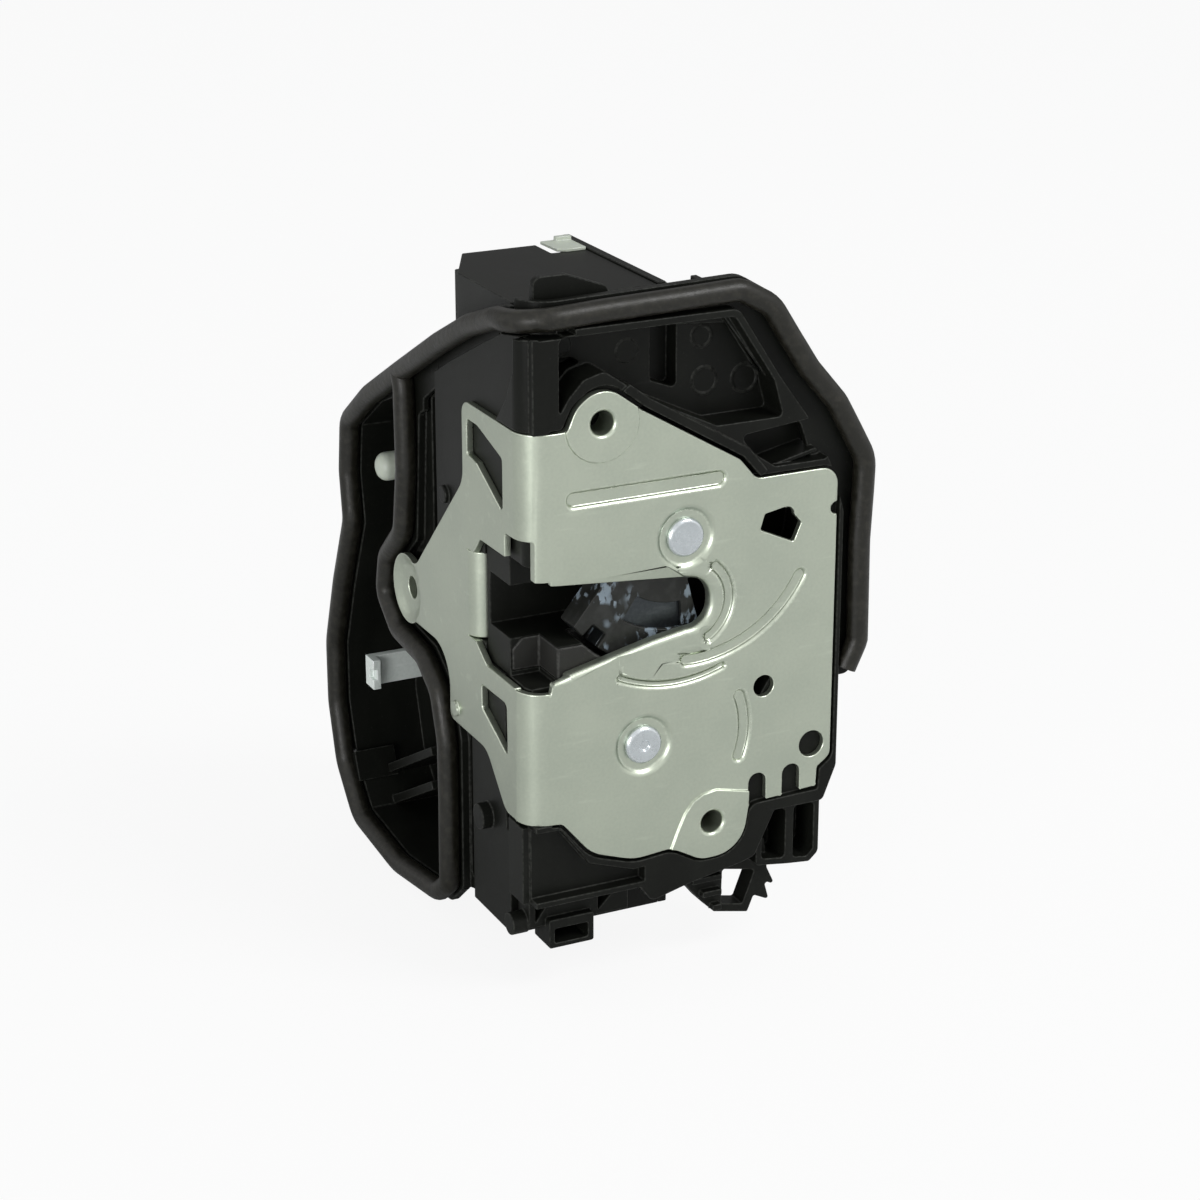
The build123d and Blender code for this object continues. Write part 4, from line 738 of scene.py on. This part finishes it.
def refill_flats(mesh: bpy.types.Mesh, least_mm2: float = 1.0) -> None:
    """Triangulate every flat region anew from its outline, so no fold of a bevel is left on it.

    Args:
        mesh: the mesh, changed in place.
        least_mm2: a face smaller than this starts no region.
    """
    edit = bmesh.new()
    edit.from_mesh(mesh)
    seeds = [face for face in edit.faces if face.calc_area() > least_mm2 * MM * MM]
    seeds.sort(key=lambda face: face.calc_area(), reverse=True)
    taken: set = set()
    regions = [flat_region(seed, taken) for seed in seeds if seed not in taken]
    for region in regions:
        if len(region) == 1 and len(region[0].verts) <= 4:
            continue
        turn = region[0].normal.rotation_difference(Vector((0.0, 0.0, 1.0)))
        members = set(region)
        edges = dict.fromkeys(edge for face in region for edge in face.edges)
        rim = [edge for edge in edges if sum(face in members for face in edge.link_faces) == 1]
        corners = list(dict.fromkeys(corner for edge in rim for corner in edge.verts))
        number = {corner: index for index, corner in enumerate(corners)}
        placed = [turn @ corner.co for corner in corners]
        height = sum(spot.z for spot in placed) / len(placed)
        flat = [spot.xy for spot in placed]
        sides = [(number[edge.verts[0]], number[edge.verts[1]]) for edge in rim]
        spots, _, triangles, origins, _, _ = delaunay_2d_cdt(flat, sides, [], 1, 1e-9)
        lines = [(flat[a], flat[b]) for a, b in sides]
        back = turn.inverted()
        ends = [
            corners[origin[0]] if origin else edit.verts.new(back @ Vector((*spot, height)))
            for spot, origin in zip(spots, origins)
        ]
        material = region[0].material_index
        bmesh.ops.delete(edit, geom=region, context="FACES_ONLY")
        for triangle in triangles:
            middle = (spots[triangle[0]] + spots[triangle[1]] + spots[triangle[2]]) / 3
            wanted = [ends[i] for i in triangle]
            if len(set(wanted)) == 3 and inside(middle, lines) and edit.faces.get(wanted) is None:
                edit.faces.new(wanted).material_index = material
    bmesh.ops.delete(edit, geom=[edge for edge in edit.edges if not edge.link_faces], context="EDGES")
    bmesh.ops.delete(edit, geom=[corner for corner in edit.verts if not corner.link_faces], context="VERTS")
    edit.to_mesh(mesh)
    edit.free()


def mark_wear(mesh: bpy.types.Mesh) -> None:
    """Keep which faces came from the edge bevel as a wear attribute."""
    worn = mesh.attributes.new(WEAR, "FLOAT", "CORNER")
    for face in mesh.polygons:
        for corner in face.loop_indices:
            worn.data[corner].value = float(face.material_index == 1)
        face.material_index = 0


def smooth(obj: bpy.types.Object, angle: float = SHARP_ANGLE) -> None:
    """Shade smooth with flat faces kept flat, and sharp edges above an angle in degrees."""
    obj.data.shade_smooth()
    obj.data.set_sharp_from_angle(angle=math.radians(angle))
    even = obj.modifiers.new("even", "WEIGHTED_NORMAL")
    even.mode = "FACE_AREA"
    even.keep_sharp = True
    settle(obj)


def dress(
    obj: bpy.types.Object, finishes: Finishes, slot: Slot, body: Body, *nodes: str
) -> bpy.types.Object:
    """Give a new piece its finish, body and the nodes that it stands for.

    Args:
        obj: the piece.
        finishes: the finishes of the latch.
        slot: its material slot.
        body: the body that it moves with.
        nodes: CAD nodes that it replaces.

    Returns:
        The piece.
    """
    obj.data.materials.clear()
    obj.data.materials.append(finishes.of(slot))
    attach(obj, body.value)
    if nodes:
        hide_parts(*nodes)
    log.info("%s: %d faces on %s", obj.name, len(obj.data.polygons), body.value)
    return obj


@dataclass
class SoftenedPiece:
    """A CAD node shown with broken edges."""

    node: str
    slot: Slot
    body: Body
    edge_mm: float = 0.2
    rolls: tuple[Roll, ...] = ()
    axis: Optional[Point] = None

    def build(self, finishes: Finishes) -> bpy.types.Object:
        """Make and dress the piece."""
        obj = softened_copy(self.node, self.node + "_shown", self.edge_mm, self.rolls)
        dress(obj, finishes, self.slot, self.body, self.node)
        if self.axis is not None:
            finish = replace(FINISH_OF[self.slot], name=self.node + "_turned", axis=self.axis)
            obj.data.materials[0] = finish.build()
        return obj


# Sealing bead


@dataclass
class SealingBead:
    """Cord that follows the housing's flange; made by Geometry Nodes along its path."""

    radius_mm: float = 2.5
    front_y: float = 1.5
    flank_x: float = -17.5
    step_mm: float = 1.2
    turn_steps: int = 8
    sides: int = 20
    waist: float = 0.86
    lump_scale: float = 90.0
    lump_low: float = 0.35
    lump_high: float = 0.6
    sharp_angle: float = 60.0
    front_run: tuple[Point, ...] = (
        (61.7, -66.2), (64.6, -60), (64.3, -36), (64.9, -24), (65.1, -17), (61.3, -10), (57.5, -3.2),
        (50.3, 5.3), (45.1, 13.3), (40.6, 20.4), (33, 24.5), (17, 24), (0, 23.6),
    )
    flank_run: tuple[Point, ...] = (
        (13.8, 21.3), (27.9, 16.4), (44.6, 8.3), (68.3, -4.4), (87.3, -14.8), (100.9, -24.6),
        (102.6, -37.6), (101, -49.8), (109.1, -67.9), (115.5, -86), (115.5, -102.2), (111.2, -117),
        (101.2, -128), (76.3, -130.5), (51.2, -127), (45.1, -122), (44.6, -100.8), (44.8, -86),
        (48.5, -75), (57, -69.5), (72.2, -68), (80.6, -61.1), (78.4, -51.6), (68.6, -42.5),
        (66, -27), (66.4, -7.0), (67.8, -4.2),
    )
    corner_height: float = 22.8
    turns: tuple[float, ...] = (
        (0, 1.5, 4, 20, 8, 4, 8, 8, 8, 8, 3.5, 10, 30, 9)
        + (3, 20, 20, 20, 20, 5, 6, 6, 20, 12, 10, 8, 8, 20, 8, 3)
        + (20, 10, 6, 6, 4.5, 4, 4.5, 6, 10, 3, 0)
    )

    def path(self) -> bpy.types.Object:
        """Corner points of the cord's middle, each with the radius of its turn.

        Returns:
            A curve of straight runs.
        """
        points = [(x, self.front_y, z) for x, z in self.front_run]
        points += [(self.flank_x, self.front_y, self.corner_height)]
        points += [(self.flank_x, y, z) for y, z in self.flank_run]
        curve = bpy.data.curves.new("bead_path", "CURVE")
        curve.dimensions = "3D"
        spline = curve.splines.new("POLY")
        spline.points.add(len(points) - 1)
        for spot, point, turn in zip(spline.points, points, self.turns, strict=True):
            spot.co = (*(c * MM for c in point), 1.0)
            spot.radius = turn * MM
        return new_object("bead_path", curve)

    def tree(self, material: bpy.types.Material) -> PieceTree:
        """Tree that rounds the path's corners and sweeps an uneven round section along it.

        Args:
            material: the cord's material.

        Returns:
            The tree.
        """
        tree = PieceTree("bead_sweep", ["Cord Radius"])
        turn = tree.add("GeometryNodeInputRadius", {}, {})
        bends = {"Curve": tree.given["Geometry"], "Radius": turn, "Count": self.turn_steps}
        rounded = tree.add("GeometryNodeFilletCurve", {"mode": "POLY"}, {**bends, "Limit Radius": True})
        steps = {"Curve": rounded, "Length": self.step_mm * MM}
        spaced = tree.add("GeometryNodeResampleCurve", {"mode": "LENGTH"}, steps)
        lumps = tree.add("ShaderNodeTexNoise", {}, {"Scale": self.lump_scale, "Detail": 2.0})
        span = {"From Min": self.lump_low, "From Max": self.lump_high, "To Min": self.waist, "To Max": 1.0}
        swell = tree.add("ShaderNodeMapRange", {}, {"Value": lumps, **span})
        uneven = tree.add("GeometryNodeSetCurveRadius", {}, {"Curve": spaced, "Radius": swell})
        circle = {"Resolution": self.sides, "Radius": tree.given["Cord Radius"]}
        section = tree.add("GeometryNodeCurvePrimitiveCircle", {}, circle)
        swept = {"Curve": uneven, "Profile Curve": section, "Fill Caps": True}
        tree.finish(tree.add("GeometryNodeCurveToMesh", {}, swept), material)
        return tree

    def build(self, finishes: Finishes) -> bpy.types.Object:
        """Make and dress the bead."""
        tree = self.tree(finishes.of(Slot.SEAL))
        bead = tree.run_on(self.path(), {"Cord Radius": self.radius_mm})
        bead.name = "seal_bead_shown"
        smooth(bead, self.sharp_angle)
        return dress(bead, finishes, Slot.SEAL, Body.LATCH, "seal_bead")


# Cover screws


@dataclass
class CoverScrews:
    """Screws of the case cover: one screw set on its points by Geometry Nodes."""

    points: tuple[Point, ...] = (
        (18.4, 20.2), (40, 18.4), (97.6, -28), (105, -71), (109, -108), (62, -123.4), (18, -113),
    )
    seat_x: float = 22.5
    head_radius: float = 3.2
    head_height: float = 1.8
    shank_radius: float = 1.55
    shank_length: float = 11.0
    drive_radius: float = 1.55
    drive_depth: float = 1.1
    head_sides: int = 36
    shank_sides: int = 24
    drive_sides: int = 6
    edge_mm: float = 0.25
    edge_steps: int = 3

    def seats(self) -> bpy.types.Object:
        """One loose point under the middle of each head."""
        mesh = bpy.data.meshes.new("screw_seats")
        mesh.from_pydata([(self.seat_x * MM, y * MM, z * MM) for y, z in self.points], [], [])
        return new_object("cover_screws_shown", mesh)

    def tree(self, material: bpy.types.Material) -> PieceTree:
        """Tree that sets a screw on each point, turned at random about its axis.

        Args:
            material: the screws' material.

        Returns:
            The tree.
        """
        tree = PieceTree("screw_set", list(self.sizes()))

        def scaled(socket: Any, factor: float) -> Any:
            """A socket times a number."""
            return tree.add("ShaderNodeMath", {"operation": "MULTIPLY"}, {0: socket, 1: factor})

        def barrel(sides: int, radius: Any, depth: Any, centre: Any) -> Any:
            """Cylinder along Z, moved along it by a socket."""
            size = {"Vertices": sides, "Radius": radius, "Depth": depth}
            body = tree.add("GeometryNodeMeshCylinder", {"fill_type": "NGON"}, size)
            place = tree.add("ShaderNodeCombineXYZ", {}, {"Z": centre})
            return tree.add("GeometryNodeTransform", {}, {"Geometry": body, "Translation": place})

        height, depth = tree.given["Head Height"], tree.given["Drive Depth"]
        length = tree.given["Shank Length"]
        head = barrel(self.head_sides, tree.given["Head Radius"], height, scaled(height, 0.5))
        drive = barrel(self.drive_sides, tree.given["Drive Radius"], scaled(depth, 2.0), height)
        shank = barrel(self.shank_sides, tree.given["Shank Radius"], length, scaled(length, -0.5))
        barrels = {"Mesh 1": head, "Mesh 2": drive}
        cut = tree.add("GeometryNodeMeshBoolean", {"operation": "DIFFERENCE"}, barrels)
        joined = tree.add("GeometryNodeJoinGeometry", {}, {"Geometry": cut})
        tree.group.links.new(shank, joined.node.inputs["Geometry"])
        spin = tree.add("FunctionNodeRandomValue", {"data_type": "FLOAT"}, {3: math.tau, "Seed": SEED}, 1)
        turned = tree.add("ShaderNodeCombineXYZ", {}, {"Z": spin})
        upright = tree.add("FunctionNodeEulerToRotation", {}, {"Euler": turned})
        onto_x = {"Rotation": upright, "Rotate By": (0.0, math.pi / 2, 0.0)}
        tilt = tree.add("FunctionNodeRotateRotation", {"rotation_space": "GLOBAL"}, onto_x)
        copies = {"Points": tree.given["Geometry"], "Instance": joined, "Rotation": tilt}
        tree.finish(tree.add("GeometryNodeInstanceOnPoints", {}, copies), material)
        return tree

    def sizes(self) -> dict[str, float]:
        """The tree's sizes in millimetres, by input."""
        return {
            "Head Radius": self.head_radius,
            "Head Height": self.head_height,
            "Shank Radius": self.shank_radius,
            "Shank Length": self.shank_length,
            "Drive Radius": self.drive_radius,
            "Drive Depth": self.drive_depth,
        }

    def build(self, finishes: Finishes) -> bpy.types.Object:
        """Make and dress the screws."""
        obj = self.tree(finishes.of(Slot.SCREW)).run_on(self.seats(), self.sizes())
        clear_finishes(obj.data)
        break_edges(obj, self.edge_mm, self.edge_steps)
        return dress(obj, finishes, Slot.SCREW, Body.LATCH, "cover_screws")


# Rim of the tray


@dataclass
class RimBridge:
    """Short wall that closes the tray's rim above the cable trough."""

    outline: tuple[Point, ...] = ((107.6, -113.4), (111.8, -116.0), (107.9, -122.2), (104.6, -120.4))
    low_x: float = -16.5
    high_x: float = -5.9
    edge_mm: float = 0.25

    def build(self, finishes: Finishes) -> bpy.types.Object:
        """Make and dress the wall."""
        count = len(self.outline)
        spots = [(x * MM, y * MM, z * MM) for x in (self.low_x, self.high_x) for y, z in self.outline]
        foot = list(range(count))
        crown = list(range(2 * count - 1, count - 1, -1))
        sides = [((i + 1) % count, i, i + count, (i + 1) % count + count) for i in range(count)]
        mesh = bpy.data.meshes.new("rim_bridge")
        mesh.from_pydata(spots, [], [foot, crown, *sides])
        obj = new_object("rim_bridge", mesh)
        clear_finishes(mesh)
        break_edges(obj, self.edge_mm)
        return dress(obj, finishes, Slot.BLACK, Body.LATCH)


# Groups of the latch


UPPER_RIVET = (20.2, -28.4)
LOWER_RIVET = (10.3, -75.0)
PLATE_ROLLS = (
    Roll(1.6, 0.0, (-10.6, -57.4), (26.6, -34.2), ((UPPER_RIVET, 7.4),)),
    Roll(0.6, 0.0, (-60.0, -120.0), (60.0, 20.0), near=(UPPER_RIVET, 6.8, 7.2)),
    Roll(0.6, 0.0, (-60.0, -120.0), (60.0, 20.0), near=(LOWER_RIVET, 6.8, 7.2)),
)


@dataclass
class Metalwork:
    """Plate, rivets, levers and the other plated pieces."""

    pieces: tuple[SoftenedPiece, ...] = (
        SoftenedPiece("lock_plate", Slot.ZINC_STEEL, Body.LATCH, 0.28, PLATE_ROLLS),
        SoftenedPiece("back_plate", Slot.ZINC_STEEL, Body.LATCH, 0.25),
        SoftenedPiece("catch_pivot", Slot.RIVET_STEEL, Body.LATCH, 0.2, axis=UPPER_RIVET),
        SoftenedPiece("pawl_pivot", Slot.RIVET_STEEL, Body.LATCH, 0.2, axis=LOWER_RIVET),
        SoftenedPiece("rotary_catch", Slot.CATCH_STEEL, Body.CATCH, 0.2),
        SoftenedPiece("pawl", Slot.CATCH_STEEL, Body.PAWL, 0.2),
        SoftenedPiece("outer_release_lever", Slot.LEVER, Body.OUTER, 0.2),
        SoftenedPiece("inner_release_lever", Slot.LEVER, Body.INNER, 0.2),
    )

    def build(self, finishes: Finishes) -> None:
        """Make every piece."""
        for piece in self.pieces:
            piece.build(finishes)


@dataclass
class Mouldings:
    """Housing, jackets and the other moulded pieces."""

    pieces: tuple[SoftenedPiece, ...] = (
        SoftenedPiece("latch_frame", Slot.BLACK, Body.LATCH, 0.25),
        SoftenedPiece("actuator_case", Slot.BLACK, Body.LATCH, 0.3),
        SoftenedPiece("case_cover", Slot.BLACK, Body.LATCH, 0.3),
        SoftenedPiece("catch_jacket", Slot.JACKET, Body.CATCH, 0.3),
        SoftenedPiece("pawl_jacket", Slot.JACKET, Body.PAWL, 0.3),
        SoftenedPiece("striker_guide", Slot.GUIDE, Body.LATCH, 0.5),
        SoftenedPiece("striker_buffer", Slot.SEAL, Body.LATCH, 0.4),
        SoftenedPiece("lock_lever", Slot.NYLON, Body.LOCK, 0.18),
        SoftenedPiece("corner_cap", Slot.NYLON, Body.LATCH, 0.15),
    )

    def build(self, finishes: Finishes) -> None:
        """Make every piece."""
        for piece in self.pieces:
            piece.build(finishes)


@dataclass
class InnerPieces:
    """CAD nodes that keep their shape and get a better material."""

    slots: dict = field(
        default_factory=lambda: {
            "catch_spring": Slot.SPRING,
            "pawl_spring": Slot.SPRING,
            "lever_pivots": Slot.SCREW,
            "wheel_axle": Slot.SCREW,
            "dc_motor": Slot.MOTOR,
            "motor_worm": Slot.BRASS,
            "worm_wheel": Slot.NYLON,
            "catch_switch": Slot.SWITCH,
            "pawl_switch": Slot.SWITCH,
            "terminals": Slot.PIN,
        }
    )

    def build(self, finishes: Finishes) -> None:
        """Give each node its finish."""
        for node, slot in self.slots.items():
            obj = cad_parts[node]
            if not obj.material_slots:
                obj.data.materials.append(None)
            for holder in obj.material_slots:
                holder.material = finishes.of(slot)
            log.info("%s keeps its shape", node)


# Studio


@dataclass(frozen=True)
class SoftBox:
    """Square lamp aimed at the latch."""

    name: str
    place: Triple
    size: float
    power: float
    aim: Triple = (0.0, 0.04, -0.05)

    def build(self) -> None:
        """Put the lamp in the scene."""
        data = bpy.data.lights.new(self.name, "AREA")
        data.size = self.size
        data.energy = self.power
        obj = new_object(self.name, data)
        obj.location = self.place
        way = Vector(self.aim) - Vector(self.place)
        obj.rotation_euler = way.to_track_quat("-Z", "Y").to_euler()


@dataclass
class Studio:
    """Camera, floor, lamps and backdrop."""

    camera_at: Triple = (-0.25411, -0.52006, 0.17704)
    azimuth: float = -26.0
    elevation: float = 20.5
    lens_mm: float = 87.0
    sensor_mm: float = 36.0
    nearest_m: float = 0.01
    floor_span: float = 6.0
    paper: Colour = (0.86, 0.86, 0.86)
    paper_light: Colour = (0.89, 0.89, 0.89)
    floor_white: float = 0.9
    backdrop: Colour = (1.0, 1.0, 1.0)
    ambient: Colour = (0.97, 0.99, 1.0)
    ambient_strength: float = 0.42
    dark_way: Triple = (0.43, 0.88, 0.2)
    dark_glow: float = 0.25
    dark_from: float = 0.1
    dark_full: float = 0.8
    lamps: tuple[SoftBox, ...] = (
        SoftBox("key", (0.75, -0.95, 1.25), 0.7, 14.0),
        SoftBox("left", (-1.2, -0.85, 0.15), 0.6, 8.0),
        SoftBox("rim", (0.3, 1.3, 1.2), 1.0, 1.5),
    )

    def build(self) -> None:
        """Set up the picture."""
        scene = bpy.context.scene
        scene.view_settings.view_transform = "Standard"
        self.camera(scene)
        self.floor()
        self.world(scene)
        for lamp in self.lamps:
            lamp.build()
        log.info("studio is ready")

    def camera(self, scene: bpy.types.Scene) -> None:
        """Place the camera at the photograph's view."""
        data = bpy.data.cameras.new("camera")
        data.lens = self.lens_mm
        data.sensor_width = self.sensor_mm
        data.clip_start = self.nearest_m
        obj = new_object("camera", data)
        obj.location = self.camera_at
        turn = math.radians(self.azimuth)
        tilt = math.radians(self.elevation)
        level = math.cos(tilt)
        forward = Vector((-math.sin(turn) * level, math.cos(turn) * level, -math.sin(tilt)))
        obj.rotation_euler = forward.to_track_quat("-Z", "Y").to_euler()
        scene.camera = obj

    def floor(self) -> None:
        """Pale floor under the lowest point, nearly white to the camera."""
        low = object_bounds()[0]
        edit = bmesh.new()
        bmesh.ops.create_grid(edit, x_segments=1, y_segments=1, size=self.floor_span / 2)
        mesh = bpy.data.meshes.new("floor")
        edit.to_mesh(mesh)
        edit.free()
        obj = new_object("floor", mesh)
        obj.location = (0.0, 0.0, low[2])
        graph = Graph("floor_paper")
        grain = graph.noise(3.0, 3.0)
        colour = graph.mix(grain * 0.2, self.paper, self.paper_light)
        mesh.materials.append(graph.shade({"Base Color": colour}, {"Roughness": 0.9}))
        tree = graph.tree
        out = next(node for node in tree.nodes if node.bl_idname == "ShaderNodeOutputMaterial")
        paper = out.inputs["Surface"].links[0].from_socket
        white = graph.add("ShaderNodeEmission", {}, {"Color": (1.0, 1.0, 1.0, 1.0), "Strength": 1.0})
        seen = graph.add("ShaderNodeLightPath", {}, [], "Is Camera Ray") * self.floor_white
        blend = graph.add("ShaderNodeMixShader", {}, [seen, Value(graph, paper), white])
        tree.links.new(blend.socket, out.inputs["Surface"])
        obj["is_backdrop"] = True

    def world(self, scene: bpy.types.Scene) -> None:
        """White to the camera, darker at the back in reflections, and softer as a light."""
        world = bpy.data.worlds.new("studio")
        scene.world = world
        world.use_nodes = True
        tree = world.node_tree
        tree.nodes.clear()

        def node(kind: str, operation: str, inputs: dict, output: Any = 0) -> Any:
            """Add a node with its operation, if it has one, and give an output."""
            made = tree.nodes.new(kind)
            if operation:
                made.operation = operation
            for key, value in inputs.items():
                if isinstance(value, bpy.types.NodeSocket):
                    tree.links.new(value, made.inputs[key])
                else:
                    made.inputs[key].default_value = value
            return made.outputs[output]

        path = tree.nodes.new("ShaderNodeLightPath").outputs
        way = tree.nodes.new("ShaderNodeTexCoord").outputs["Generated"]
        ahead = node("ShaderNodeVectorMath", "DOT_PRODUCT", {0: way, 1: self.dark_way}, "Value")
        span = {"Value": ahead, "From Min": self.dark_from, "From Max": self.dark_full}
        dim = node("ShaderNodeMapRange", "", {**span, "To Min": 1.0, "To Max": self.dark_glow})
        glow = node("ShaderNodeMath", "MAXIMUM", {0: dim, 1: path["Is Camera Ray"]})
        shown = node("ShaderNodeBackground", "", {"Color": (*self.backdrop, 1.0), "Strength": glow})
        light = {"Color": (*self.ambient, 1.0), "Strength": self.ambient_strength}
        lit = node("ShaderNodeBackground", "", light)
        mirrored = {0: path["Is Transmission Ray"], 1: path["Is Glossy Ray"]}
        through = node("ShaderNodeMath", "MAXIMUM", mirrored)
        seen = node("ShaderNodeMath", "MAXIMUM", {0: path["Is Camera Ray"], 1: through})
        mix = node("ShaderNodeMixShader", "", {"Fac": seen, 1: lit, 2: shown})
        out = tree.nodes.new("ShaderNodeOutputWorld")
        tree.links.new(mix, out.inputs["Surface"])


def main() -> None:
    """Build the latch and its studio, and report each piece."""
    logging.basicConfig(level=logging.INFO, format="%(message)s")
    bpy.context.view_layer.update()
    finishes = Finishes()
    Metalwork().build(finishes)
    Mouldings().build(finishes)
    RimBridge().build(finishes)
    SealingBead().build(finishes)
    CoverScrews().build(finishes)
    InnerPieces().build(finishes)
    Studio().build()


if __name__ == "__main__":
    main()
